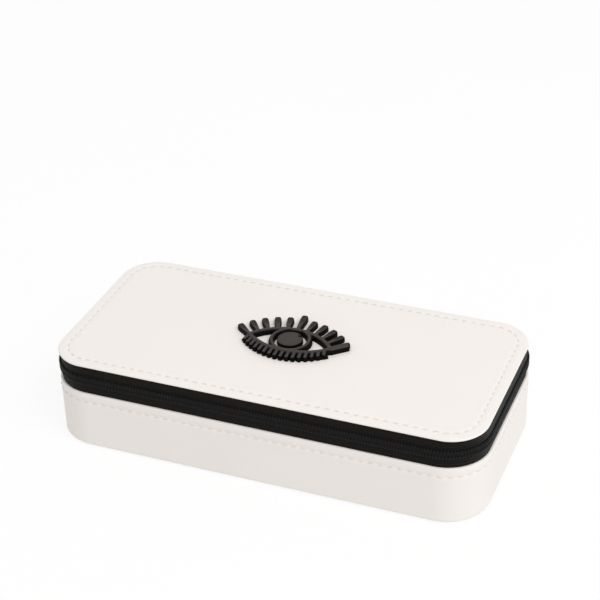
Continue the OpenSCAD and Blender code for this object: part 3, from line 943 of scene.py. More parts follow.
class Repeat:
    """Geometry Nodes tree that sets copies of a template along a path."""

    def __init__(self) -> None:
        """Builds the tree once."""
        self.tree = bpy.data.node_groups.new("repeat_along_path", "GeometryNodeTree")
        face = self.tree.interface
        face.new_socket("Geometry", in_out="INPUT", socket_type="NodeSocketGeometry")
        self.ids = {}
        for label, kind in (
            ("Count", "Int"), ("Template", "Object"), ("Jitter", "Float"), ("Seed", "Int"),
            ("Material", "Material"),
        ):
            made = face.new_socket(label, in_out="INPUT", socket_type=f"NodeSocket{kind}")
            self.ids[label] = made.identifier
        face.new_socket("Geometry", in_out="OUTPUT", socket_type="NodeSocketGeometry")
        graph = Graph(self.tree)
        given = graph.add("NodeGroupInput").outputs
        curve = graph.node("GeometryNodeMeshToCurve", inputs={"Mesh": given["Geometry"]})
        inputs = {"Curve": curve, "Count": given["Count"]}
        spaced = graph.node("GeometryNodeResampleCurve", {"mode": "COUNT"}, inputs)
        inputs = {"Vector": graph.node("GeometryNodeInputTangent")}
        axes = {"axis": "X", "pivot_axis": "Z"}
        facing = graph.node("FunctionNodeAlignRotationToVector", axes, inputs)
        inputs = {"Min": -1.0, "Max": 1.0, "Seed": given["Seed"]}
        wobble = graph.node("FunctionNodeRandomValue", {"data_type": "FLOAT"}, inputs, 1)
        swing = {"Y": wobble * Sock(graph, given["Jitter"])}
        inputs = {"Rotation": facing, "Rotate By": graph.node("ShaderNodeCombineXYZ", inputs=swing)}
        turned = graph.node("FunctionNodeRotateRotation", {"rotation_space": "LOCAL"}, inputs)
        inputs = {"Object": given["Template"]}
        shape = graph.node("GeometryNodeObjectInfo", inputs=inputs, output="Geometry")
        inputs = {"Points": spaced, "Instance": shape, "Rotation": turned}
        copies = graph.node("GeometryNodeInstanceOnPoints", inputs=inputs)
        real = graph.node("GeometryNodeRealizeInstances", inputs={"Geometry": copies})
        inputs = {"Geometry": real, "Material": given["Material"]}
        dressed = graph.node("GeometryNodeSetMaterial", inputs=inputs)
        graph.add("NodeGroupOutput", inputs={0: dressed})

    def along(
        self, name: str, path: np.ndarray, closed: bool, count: int, template: bpy.types.Mesh,
        finish: Finish, jitter: float = 0.0, seed: int = 1,
    ) -> bpy.types.Object:
        """Sets copies along a path.

        Args:
            name: the new piece's name.
            path: points of the path, (n, 3); the first and last copy stand on its ends.
            closed: whether the path closes.
            count: number of copies.
            template: the mesh that is copied; its X follows the path and its Z stays up.
            finish: the copies' finish.
            jitter: most that a copy is turned at random about its own Y, in radians.
            seed: seed of that turn.

        Returns:
            The copies as one plain mesh.
        """
        edges = [(i, i + 1) for i in range(len(path) - 1)] + [(len(path) - 1, 0)] * closed
        mesh = bpy.data.meshes.new(name)
        mesh.from_pydata(path.tolist(), edges, [])
        made = new_object(name, mesh, finish)
        shape = new_object(name + "_template", template, finish)
        modifier = made.modifiers.new("Repeat", "NODES")
        modifier.node_group = self.tree
        for label, value in (
            ("Count", count), ("Template", shape), ("Jitter", jitter), ("Seed", seed),
            ("Material", finish.material()),
        ):
            modifier[self.ids[label]] = value
        bpy.context.view_layer.update()
        baked(made)
        bpy.data.objects.remove(shape)
        return made


REPEAT = Repeat()


# ---------------------------------------------------------------- covers


@dataclass
class Covers:
    """Leather-look covers of the base and the lid, and the rows of stitches through them."""

    base_stitch_z: float = CASE.base_top - 4.2 * MM
    lid_stitch_d: float = 4.6 * MM
    stitch_pitch: float = 4.3 * MM
    stitch_l: float = 2.7 * MM
    thread_r: float = 0.24 * MM
    thread_lift: float = 0.03 * MM
    groove: float = 0.16 * MM
    valley_w: float = 0.95 * MM
    pit_w: float = 0.55 * MM
    swell_h: float = 0.05 * MM
    swell_d: float = 2.0 * MM
    swell_w: float = 1.2 * MM
    hole_share: float = 0.13
    rim_drop: float = 0.16 * MM
    foot_r: float = 1.2 * MM
    edge_r: float = 0.5 * MM
    hem_w: float = 8 * MM
    lid_hem_w: float = 6 * MM
    per_stitch: int = 8

    def stations(self, line: Outline) -> tuple[np.ndarray, int]:
        """Finds stations that keep step with the stitches along a line.

        Args:
            line: the line of the stitches.

        Returns:
            The stations and the number of stitches.
        """
        length = line.starts()[-1]
        count = round(length / self.stitch_pitch)
        return np.linspace(0, length, count * self.per_stitch + 1), count

    def pucker(self, runs: np.ndarray, away: np.ndarray, count: int) -> np.ndarray:
        """Depth of the sewn groove.

        Args:
            runs: stations along the row, its end included.
            away: signed distance of each section point from the row.
            count: number of stitches along the row.

        Returns:
            Depth below the plain surface, (stations, section points).
        """
        phase = runs[:-1] / runs[-1] * count
        hole = bell(np.mod(phase + 0.5, 1) - 0.5, self.hole_share)[:, None]
        hold = (0.75 + 0.25 * np.cos(2 * math.pi * phase))[:, None]
        dent = hold * bell(away, self.valley_w) + 0.9 * hole * bell(away, self.pit_w)
        return self.groove * dent - self.swell_h * bell(np.abs(away) - self.swell_d, self.swell_w)

    def base_section(self) -> np.ndarray:
        """Section of the base cover.

        Returns:
            Its points: foot, wall, rounded top edge and the hidden inner face.
        """
        low, top = CASE.foot, CASE.base_top
        hem, edge = CASE.cover_t + self.hem_w, self.edge_r
        return np.concatenate([
            [(hem, low)],
            arc_points((self.foot_r, low + self.foot_r), self.foot_r, 270, 180, 6),
            # Rows of points stand closer together where the seam puckers the sheet.
            line_points((0, low + 2 * MM), (0, self.base_stitch_z - 3 * MM), 10),
            line_points((0, self.base_stitch_z - 2.6 * MM), (0, top - edge - 0.2 * MM), 17),
            arc_points((edge, top - edge), edge, 180, 90, 5),
            [(CASE.cover_t, top), (CASE.cover_t, low + CASE.cover_t), (hem, low + CASE.cover_t)],
        ])

    def build_base(self) -> bpy.types.Object:
        """Cover round the base.

        Returns:
            The piece.
        """
        runs, count = self.stations(BASE_LINE)
        section = self.base_section()
        outer = section[:, 0] < 0.5 * MM
        depth = self.pucker(runs, section[:, 1] - self.base_stitch_z, count) * outer
        shift = np.stack([depth, np.zeros_like(depth)], axis=2)
        mesh = sweep(BASE_LINE, runs, section, loop=True, shift=shift)
        tidy(mesh, 50)
        return placed(new_object("base_cover_skin", mesh, COVER), "base", "base_cover")

    def lid_section(self) -> np.ndarray:
        """Section of the lid cover.

        Returns:
            Its points, from the flat middle out over the edge and in under the hem.
        """
        top, low = CASE.top, CASE.band_top
        edge, d = self.edge_r, self.lid_stitch_d
        inner, under = LID_LINE.corner - 0.6 * MM, top - CASE.cover_t
        return np.concatenate([
            line_points((inner, top), (d + 3.4 * MM, top), 8),
            line_points((d + 3 * MM, top), (d - 2.8 * MM, top), 20),
            line_points((d - 3.1 * MM, top), (edge + 0.15 * MM, top), 4),
            arc_points((edge, top - edge), edge, 90, 180, 5),
            arc_points((edge, low + edge), edge, 180, 270, 5),
            [(self.lid_hem_w, low), (self.lid_hem_w, under), (inner, under)],
        ])

    def build_lid(self) -> bpy.types.Object:
        """Cover of the lid, with a flat sheet across its middle.

        Returns:
            The piece.
        """
        row = LID_LINE.inset(self.lid_stitch_d)
        runs, count = self.stations(row)
        section = self.lid_section()
        inwards, height = section.T
        on_top, above = height > CASE.top - 0.1 * MM, height > CASE.band_top + self.edge_r
        rim = ramp(-inwards, -self.lid_stitch_d, self.lid_stitch_d) * above
        depth = self.pucker(runs, inwards - self.lid_stitch_d, count) * on_top + self.rim_drop * rim
        shift = np.stack([np.zeros_like(depth), -depth], axis=2)
        local = section - np.array([self.lid_stitch_d, 0])
        mesh = sweep(row, runs, local, closed=False, loop=True, shift=shift)
        with edited(mesh) as bm:
            bmesh.ops.holes_fill(bm, edges=[e for e in bm.edges if e.is_boundary], sides=0)
        tidy(mesh, 50)
        return placed(new_object("lid_cover_skin", mesh, COVER), "lid", "lid_cover")

    def stitch_mesh(self) -> bpy.types.Mesh:
        """Makes one stitch: a short thread along X that dips into the sheet at both ends.

        Returns:
            The mesh.
        """
        share = np.linspace(-1, 1, 9)
        x = share * self.stitch_l / 2
        thick = self.thread_r * (1 - np.abs(share) ** 4) ** 0.5 + 0.02 * MM
        dip = -1.1 * self.thread_r * np.abs(share) ** 3
        around = thick[:, None, None] * compass(ring(8)) + np.array([0, 1]) * dip[:, None, None]
        along = np.broadcast_to(x[:, None, None], (len(x), 8, 1))
        mesh = grid_mesh(np.concatenate([along, around], axis=2), False, True)
        tidy(mesh, 80)
        return mesh

    def build_stitches(self, name: str, line: Outline, body: str) -> bpy.types.Object:
        """One row of thread.

        Args:
            name: the row's name.
            line: the line that it follows.
            body: the body whose cover it goes through.

        Returns:
            The piece.
        """
        runs, count = self.stations(line)
        points, normals = line.at(runs[:-1] + runs[-1] / count / 2)
        sunk = self.groove * 0.75 - self.thread_r * 0.35 - self.thread_lift
        template = self.stitch_mesh()
        if body == "lid":
            path = np.column_stack([points, np.full(len(points), CASE.top - sunk)])
        else:
            level = np.full(len(points), self.base_stitch_z)
            path = np.column_stack([points - normals * sunk, level])
            template.transform(Matrix.Rotation(math.pi / 2, 4, "X"))
        return placed(REPEAT.along(name, path, True, count, template, STITCH), body)

    def build(self) -> list[bpy.types.Object]:
        """Both covers, their stitches and the underside.

        Returns:
            The pieces.
        """
        dress_node("base_underside", COVER)
        row = LID_LINE.inset(self.lid_stitch_d)
        return [
            self.build_base(),
            self.build_lid(),
            self.build_stitches("base_stitches", BASE_LINE, "base"),
            self.build_stitches("lid_stitches", row, "lid"),
        ]


# ---------------------------------------------------------------- zip


class Row(Enum):
    """The two halves of the zip: body, sign of the way from the centre line, and phase."""

    LOWER = ("lower", "base", -1, 0.25)
    UPPER = ("upper", "lid", 1, 0.75)

    def __init__(self, label: str, body: str, side: int, phase: float) -> None:
        """Keeps the row's facts."""
        self.label, self.body, self.side, self.phase = label, body, side, phase


@dataclass
class Zip:
    """Woven tapes, coil rows and their sewing, stops, slider and puller."""

    chain_w: float = 4.9 * MM
    pitch: float = 1.4 * MM
    wire_r: float = 0.27 * MM
    head_swell: float = 0.14
    head_l: float = 1.1 * MM
    slant: float = 0.12 * MM
    reach: float = 0.5 * MM
    coil_t: float = 0.9 * MM
    coil_jitter: float = 0.015
    coil_seed: int = 3
    sewing_r: float = 0.13 * MM
    sewing_dip: float = 0.16 * MM
    sewing_lines: tuple[float, float] = (0.95 * MM, 1.65 * MM)
    gap: float = 0.3 * MM
    tuck: float = 5 * MM
    flange_end: float = 7 * MM
    tape_end: float = 75 * MM
    tape_steps: int = 620
    tape_wave: float = 0.035 * MM
    tape_wave_l: float = 11 * MM
    near_zip: float = 4 * MM
    spread: float = 1.4 * MM
    spread_end: float = 2.3 * MM
    end_deg: float = 48.0
    split_low: float = field(init=False)
    split_len: float = field(init=False)
    first: float = field(init=False)
    last: float = field(init=False)
    count: int = field(init=False)

    def __post_init__(self) -> None:
        """Takes the places of the slider's head and of the chain's two ends from the frame."""
        low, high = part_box("slider")
        self.split_len = (high.y - low.y) / 2 + 1 * MM
        self.split_low = high.y - self.split_len
        starts = BASE_LINE.starts()
        chain_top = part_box("lower_top_stop")[0].y - 0.1 * MM
        self.first = starts[2] + (BASE_LINE.width / 2 - BASE_LINE.corner - chain_top)
        self.last = starts[7] + math.radians(self.end_deg) * BASE_LINE.corner
        self.count = round((self.last - self.first) / self.pitch)

    def spread_at(self, points: np.ndarray) -> np.ndarray:
        """How far a tape's edge is spread near the slider's head on the left side.

        Args:
            points: points of the outline, (n, 2).

        Returns:
            The spread at each point.
        """
        x, y = points.T
        corner = BASE_LINE.width / 2 - BASE_LINE.corner
        closing = ramp(-y, -corner, self.spread_end)
        left = x < 1 * MM - BASE_LINE.length / 2 + BASE_LINE.corner
        return self.spread * ramp(y, self.split_low, self.split_len) * closing * left

    def tape_section(self, row: Row) -> np.ndarray:
        """Section of one tape, its free edge rounded.

        Args:
            row: which half.

        Returns:
            Its points.
        """
        out, back, r = CASE.cover_t, CASE.cover_t + CASE.tape_t, CASE.tape_t / 2
        edge = CASE.zip_z + row.side * (self.gap / 2 + r)
        if row is Row.LOWER:
            low = CASE.base_top - self.tuck
            return np.concatenate([
                line_points((back, low), (back, edge), 14),
                arc_points((out + r, edge), r, 0, 180, 4)[1:-1],
                line_points((out, edge), (out, low), 14),
            ])
        high = CASE.band_top
        inner = high - CASE.tape_t
        return np.concatenate([
            line_points((out, inner), (out, edge), 10),
            arc_points((out + r, edge), r, 180, 360, 4)[1:-1],
            line_points((back, edge), (back, inner), 10),
            [(self.flange_end, inner), (self.flange_end, high)],
            arc_points((back, inner), CASE.tape_t, 90, 150, 3),
        ])

    def build_tape(self, row: Row) -> bpy.types.Object:
        """One tape, from the left end round the front to the right end.

        Args:
            row: which half.

        Returns:
            The piece.
        """
        runs = np.linspace(self.tape_end, BASE_LINE.starts()[-1] - self.tape_end, self.tape_steps)
        section = self.tape_section(row)
        near = 1 - ramp(np.abs(section[:, 1] - CASE.zip_z), 0, self.near_zip)
        near = near * near * (3 - 2 * near)
        rise = self.spread_at(BASE_LINE.at(runs)[0])[:, None] * near * row.side
        wave = self.tape_wave * np.sin(runs / self.tape_wave_l)[:, None] * near
        mesh = sweep(BASE_LINE, runs, section, shift=np.stack([wave, rise], axis=2))
        tidy(mesh, 60)
        made = new_object(f"{row.label}_tape", mesh, TAPE)
        return placed(made, row.body, f"{row.label}_zip_tape")

    def loop_mesh(self, row: Row) -> bpy.types.Mesh:
        """One coil loop: X along the zip, Y outwards, Z up, with the head past the centre line.

        The wire runs out along the front, round the heel and back behind, a little aslant, and
        swells where its head grips the other row.

        Args:
            row: which half.

        Returns:
            The mesh.
        """
        steps = 20
        head = self.reach - self.wire_r * 0.3
        heel = -self.chain_w / 2 + self.wire_r
        angle = ring(steps)
        z = (head + heel) / 2 + (head - heel) / 2 * squared(np.cos(angle), 0.45)
        y = (self.coil_t / 2 - self.wire_r) * squared(np.sin(angle), 0.45)
        way = np.sign(np.sin(angle) + 1e-9)
        path = np.stack([self.slant * (z - heel) / (head - heel) * way, y, z], axis=1)
        across = np.tile([1.0, 0, 0], (steps, 1))
        inward = np.cross(unit(np.roll(path, -1, axis=0) - np.roll(path, 1, axis=0)), across)
        wide = self.wire_r * (1 + self.head_swell * ramp(z, head - self.head_l, self.head_l))
        mesh = grid_mesh(tube(path, across, inward, wide, self.wire_r, 6), True, True)
        if row is Row.UPPER:
            mesh.transform(Matrix.Diagonal((1, 1, -1, 1)))
        tidy(mesh, 180)
        return mesh

    def rail(self, row: Row, steps: int, away: float, depth: float) -> np.ndarray:
        """Points along the chain, its ends drawn in by the row's phase.

        Args:
            row: which half.
            steps: number of stations.
            away: distance from the centre line, towards the row's own tape.
            depth: depth inwards from the outline.

        Returns:
            The points, (steps, 3).
        """
        end = self.last - (1 - row.phase) * self.pitch
        runs = np.linspace(self.first + row.phase * self.pitch, end, steps)
        points, normals = BASE_LINE.at(runs)
        height = CASE.zip_z + row.side * (self.spread_at(points) + away)
        return np.column_stack([points - normals * depth, height])

    def build_coil(self, row: Row) -> bpy.types.Object:
        """One row of coil loops, each turned to follow the tape.

        Args:
            row: which half.

        Returns:
            The piece.
        """
        path = self.rail(row, 3 * self.count, 0, CASE.cover_t - self.coil_t / 2)
        name = f"{row.label}_coil_loops"
        shape = self.loop_mesh(row)
        random = (self.coil_jitter, self.coil_seed)
        loops = REPEAT.along(name, path, False, self.count, shape, COIL, *random)
        return placed(loops, row.body, f"{row.label}_coil")

    def build_sewing(self, row: Row) -> bpy.types.Object:
        """Two lines of thread that hold the coil to its tape, rising over each loop.

        Args:
            row: which half.

        Returns:
            The piece.
        """
        per_loop = 4
        steps = self.count * per_loop
        _, normals = BASE_LINE.at(np.linspace(self.first, self.last, steps))
        out = np.column_stack([normals, np.zeros(steps)])
        dip = self.sewing_dip * np.sin(np.arange(steps) / per_loop * 2 * math.pi + row.phase)
        parts = []
        for away in self.sewing_lines:
            path = self.rail(row, steps, away, CASE.cover_t - self.coil_t + 0.05 * MM)
            path -= out * dip[:, None]
            up = np.cross(out, unit(np.gradient(path, axis=0)))
            wide = np.full(steps, self.sewing_r)
            parts.append(grid_mesh(tube(path, out, up, wide, self.sewing_r, 5), False, True))
        mesh = joined(parts)
        tidy(mesh, 180)
        return placed(new_object(f"{row.label}_coil_sewing", mesh, SEWING), row.body)

    def build(self) -> list[bpy.types.Object]:
        """Both halves and the metal, whose edges are rounded.

        Returns:
            The pieces.
        """
        made = []
        for row in Row:
            made += [self.build_tape(row), self.build_coil(row), self.build_sewing(row)]
        for node, body, bevel in (
            ("lower_top_stop", "base", 0.12 * MM),
            ("upper_top_stop", "lid", 0.12 * MM),
            ("bottom_stop", "base", 0.12 * MM),
            ("slider", "slider", 0.18 * MM),
            ("puller", "puller", 0.2 * MM),
        ):
            made.append(polished(node, node + "_piece", METAL, body, bevel))
        return made


# ---------------------------------------------------------------- hinge


@dataclass
class HingeStrip:
    """Flexible strip across the back, one piece set on the base."""

    half: float = 80 * MM
    lap: float = 5.2 * MM
    out_d: float = 0.5 * MM
    edge_r: float = 0.25 * MM
    sunk: float = 0.02 * MM
    bend: float = 4.5 * MM

    def build(self) -> list[bpy.types.Object]:
        """The strip, with a thin flap at each end where it isn't tucked in.

        Returns:
            The piece.
        """
        low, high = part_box("hinge_strip")
        edge, out = self.edge_r, self.out_d
        lip, top, high_z = CASE.base_top + 0.1 * MM, CASE.band_top - 0.1 * MM, CASE.band_top
        tucked, back = CASE.cover_t, CASE.cover_t + CASE.tape_t
        inner, reach = high_z - CASE.tape_t, high.y - low.y + out
        outer = np.concatenate([
            arc_points((out + edge, top - edge), edge, 90, 180, 3),
            line_points((out, top - 2 * edge), (out, lip + 2 * edge), 18),
            arc_points((out + edge, lip + edge), edge, 180, 270, 3),
        ])
        section = np.concatenate([
            [(back, low.z)],
            line_points((back, lip), (back, inner), 16),
            [(reach, inner), (reach, high_z), (tucked, high_z), (tucked, top)],
            outer,
            [(tucked, lip), (tucked, low.z)],
        ])
        under = tucked - self.sunk
        flap = np.concatenate([line_points((under, lip), (under, top), 18), outer])
        start = self.half - self.lap
        mesh = joined([
            sweep(BASE_LINE, np.linspace(-start, start, 240), section),
            sweep(BASE_LINE, np.linspace(-self.half, -start, 8), flap),
            sweep(BASE_LINE, np.linspace(start, self.half, 8), flap),
        ])
        tidy(mesh, 50)
        made = new_object("hinge_strip_skin", mesh, COVER)
        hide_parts("hinge_strip")
        y, z = BASE_LINE.width / 2 - CASE.cover_t, CASE.zip_z
        z - self.bend
        z + self.bend
        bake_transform(made)
        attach(made, "base")
        return [made]


# ---------------------------------------------------------------- eye badge


@dataclass(frozen=True)
class Arc:
    """Part of a circle: its centre, its radius and half its span in degrees."""

    centre: tuple[float, float]
    radius: float
    span: float = 180.0

    def at(self, angle: float) -> tuple[float, float]:
        """The point at an angle, in degrees."""
        x, y = compass(np.radians([angle]))[0] * self.radius + self.centre
        return x, y


@dataclass
class EyeBadge:
    """Moulded eye on the lid: lid lines, lashes and iris ring in one, and a flat-topped pupil."""

    half_l: float = 19.2 * MM
    rise: float = 9.8 * MM
    drop: float = 7.6 * MM
    line_w: float = 3.1 * MM
    thick: float = 2.8 * MM
    iris_r: float = 9.8 * MM
    iris_w: float = 2.6 * MM
    pupil_r: float = 5.8 * MM
    pupil_t: float = 2.5 * MM
    pupil_edge: float = 0.35 * MM
    pupil_crown: float = 0.25 * MM
    bite_r: float = 0.85 * MM
    bite_t: float = 0.9 * MM
    bite_at: float = 0.6
    middle_x: float = -0.5 * MM
    corner_y: float = -2.3 * MM
    upper_count: int = 11
    upper_l: float = 9.8 * MM
    upper_r: float = 1.65 * MM
    middle_more: float = 2.8 * MM
    lower_count: int = 16
    lower_l: float = 5.4 * MM
    lower_r: float = 1.0 * MM
    web_w: float = 4.0 * MM
    web_t: float = 1.1 * MM
    upper_fan: float = 0.82
    lower_fan: float = 12.0
    wing_deg: float = 43.0
    lean_deg: float = 4.5
    hollow: float = 0.55 * MM
    voxel: float = 0.19 * MM
    centre: tuple[float, float] = (-0.7 * MM, -0.8 * MM)
    pupil_centre: tuple[float, float] = (-1.0 * MM, -0.4 * MM)

    def lid_arc(self, sagitta: float, way: int) -> Arc:
        """Arc of a lid.

        Args:
            sagitta: height of the arc over the eye's corners.
            way: 1 for the upper lid and -1 for the lower.

        Returns:
            The arc.
        """
        radius = (self.half_l**2 + sagitta**2) / (2 * sagitta)
        span = math.degrees(math.asin(self.half_l / radius))
        return Arc((self.middle_x, self.corner_y + way * (sagitta - radius)), radius, span)

    def bar(
        self, arc: Arc, start: float, end: float, half_w: float, height: float
    ) -> bpy.types.Mesh:
        """Rounded bar bent along an arc.

        Args:
            arc: the arc of the bar's middle.
            start: first angle, in degrees.
            end: last angle; 360 more than the first closes the ring.
            half_w: half the bar's width.
            height: height of its top above the lid.

        Returns:
            The mesh.
        """
        closed = end - start == 360
        step, buried = 0.4 * MM, 0.25
        steps = max(12, int(abs(math.radians(end - start)) * arc.radius / step))
        turn = np.linspace(0, math.pi, 13)
        x = np.concatenate([squared(np.cos(turn), 0.85), [-1, 1]])
        z = np.concatenate([squared(np.sin(turn), 0.72), [-buried, -buried]])
        way = compass(np.radians(np.linspace(start, end, steps + 1)))[:, None]
        flat = np.array(arc.centre) + (arc.radius + half_w * x)[None, :, None] * way
        level = np.broadcast_to(CASE.top + height * z[None, :, None], (*flat.shape[:2], 1))
        points = np.concatenate([flat, level], axis=2)
        return grid_mesh(points[:-1] if closed else points, closed, True)

    def lash(
        self, root: Sequence[float], aim: float, length: float, root_r: float, tip_r: float,
        height: float, hollow: float = 0.0,
    ) -> bpy.types.Mesh:
        """One paddle-shaped lash with steep sides and a rounded rim.

        Args:
            root: where it starts.
            aim: angle that it points at, in degrees.
            length: its length.
            root_r: half width at its root.
            tip_r: half width near its tip.
            height: height of its rim.
            hollow: depth of the dish in its broad end.

        Returns:
            The mesh.
        """
        taper, low_rim, buried, least = 0.7, 0.35, 0.25, 0.03 * MM
        x = np.concatenate([
            -root_r * np.cos(np.linspace(0, math.pi / 2, 5)),
            np.linspace(0, length - tip_r, 11)[1:-1],
            length - tip_r + tip_r * np.sin(np.linspace(0, math.pi / 2, 9)),
        ])
        past = np.maximum(x - length + tip_r, 0) / tip_r
        body = root_r + (tip_r - root_r) * ramp(x, 0, taper * length)
        root_end = np.sqrt(np.clip(1 - (np.minimum(x, 0) / root_r) ** 2, 0, 1))
        wide = np.maximum(body * root_end * np.clip(1 - past**2.6, 0, 1) ** 0.5, least)
        share = np.sin(np.linspace(-1, 1, 15) * math.pi / 2)
        side = (1 - np.abs(share) ** 8) ** 0.6
        end = np.clip(1 - past**7, 0, 1)[:, None] ** 0.6
        along = ramp(x, 0.25 * length, 0.3 * length) * ramp(-past, -0.62, 0.35)
        dish = hollow * bell(share, 0.5, 4) * along[:, None]
        top = height * (low_rim + (1 - low_rim) * side * end) - dish
        y = wide[:, None] * np.concatenate([share, share[::-1]])
        z = np.concatenate([top, np.full_like(top, -buried * height)], axis=1)
        cos, sin = math.cos(math.radians(aim)), math.sin(math.radians(aim))
        points = np.stack([
            root[0] + x[:, None] * cos - y * sin,
            root[1] + x[:, None] * sin + y * cos,
            CASE.top + z,
        ], axis=2)
        return grid_mesh(points, False, True)

    def upper_lashes(self) -> list[bpy.types.Mesh]:
        """Upper lashes in a fan; the last is a wing of two ribs.

        Returns:
            The lashes.
        """
        arc = self.lid_arc(self.rise, 1)
        last = self.upper_count - 1
        made = []
        for i in range(last):
            off = arc.span * (1 - 2 * i / last)
            length = self.upper_l + (self.middle_more if i == last // 2 else 0)
            made.append(self.lash(
                arc.at(90 + off), 90 + self.lean_deg + off * self.upper_fan, length,
                0.58 * self.upper_r, self.upper_r, 0.9 * self.thick, self.hollow,
            ))
        rib = 0.65 * self.upper_r
        corner = (self.middle_x + self.half_l, self.corner_y)
        for way in (-1, 1):
            root = Arc(corner, way * 0.85 * rib).at(self.wing_deg + 90)
            length = self.upper_l - (1 - way) / 2 * MM
            made.append(self.lash(root, self.wing_deg, length, 0.9 * rib, rib, 0.86 * self.thick))
        return made

    def lower_lashes(self) -> list[bpy.types.Mesh]:
        """Short ribs from the left corner almost to the right one, on a thin web.

        Returns:
            The web and the lashes.
        """
        arc = self.lid_arc(self.drop, -1)
        web = Arc(arc.centre, arc.radius + self.web_w / 2)
        made = [self.bar(web, 270 - arc.span, 270 + 0.9 * arc.span, self.web_w / 2, self.web_t)]
        for i in range(self.lower_count):
            s = 2 * i / self.lower_count - 1
            made.append(self.lash(
                arc.at(270 + arc.span * s), 270 + self.lean_deg + self.lower_fan * s,
                self.lower_l * (1 - 0.1 * s - 0.15 * s * s),
                0.85 * self.lower_r, self.lower_r, 0.84 * self.thick,
            ))
        return made

    def lines(self) -> list[bpy.types.Mesh]:
        """Lid lines and the iris ring.

        Returns:
            The bars.
        """
        height = 0.98 * self.thick
        up, low = self.lid_arc(self.rise, 1), self.lid_arc(self.drop, -1)
        iris = Arc(self.centre, self.iris_r - self.iris_w / 2)
        return [
            self.bar(up, 90 - up.span, 90 + up.span, self.line_w / 2, height),
            self.bar(low, 270 - low.span, 270 + low.span, self.line_w / 2, height),
            self.bar(iris, 0, 360, self.iris_w / 2, self.thick),
        ]

    def build_rim(self) -> bpy.types.Object:
        """The moulding: shapes fused by a voxel remesh and cut flat where they meet the lid.

        Returns:
            The piece.
        """
        mesh = joined(self.lines() + self.upper_lashes() + self.lower_lashes())
        tidy(mesh, 60)
        made = new_object("eye_rim", mesh, BADGE)
        put(made.modifiers.new("Fuse", "REMESH"), mode="VOXEL", voxel_size=self.voxel)
        put(made.modifiers.new("Soften", "SMOOTH"), factor=0.5, iterations=2)
        baked(made)
        with edited(made.data) as bm:
            cut = bmesh.ops.bisect_plane(
                bm, geom=bm.verts[:] + bm.edges[:] + bm.faces[:], plane_co=(0, 0, CASE.top),
                plane_no=(0, 0, -1), clear_outer=True,
            )
            edges = [e for e in cut["geom_cut"] if isinstance(e, bmesh.types.BMEdge)]
            bmesh.ops.triangle_fill(bm, edges=edges, use_beauty=True, normal=(0, 0, -1))
        tidy(made.data, 60)
        mark_painted_light(made.data)
        return placed(made, "lid", "eye_emblem")

    def build_pupil(self) -> bpy.types.Object:
        """Pupil with a flat top, a rounded rim and a small bite.

        Returns:
            The piece.
        """
        edge, flat_r = self.pupil_edge, self.pupil_r - self.pupil_edge
        flat = np.linspace(0, flat_r, 16)
        turn = np.linspace(math.radians(15), math.pi / 2, 6)
        radius = np.concatenate([flat, flat_r + edge * np.sin(turn)])
        rim = self.pupil_t - edge + edge * np.cos(turn)
        height = np.concatenate([np.full_like(flat, self.pupil_t), rim])
        height -= self.pupil_crown * (radius / self.pupil_r) ** 2
        x, y = np.moveaxis(radius[:, None, None] * compass(ring(72)), 2, 0)
        away = np.hypot(x - self.bite_at * self.pupil_r, y - self.bite_at * self.pupil_r)
        z = height[:, None] - self.bite_t * bell(away, self.bite_r, 6)
        foot = np.stack([x[-1], y[-1], np.zeros_like(x[-1])], axis=1)
        points = np.concatenate([foot[None], np.stack([x, y, z], axis=2)[::-1]])
        mesh = grid_mesh(points + np.array([*self.pupil_centre, CASE.top]), False, True)
        tidy(mesh, 50, weld=0.005 * MM)
        mark_painted_light(mesh)
        return placed(new_object("eye_pupil_dome", mesh, BADGE), "lid", "eye_pupil")

    def build(self) -> list[bpy.types.Object]:
        """Rim and pupil."""
        return [self.build_rim(), self.build_pupil()]


# ---------------------------------------------------------------- inside


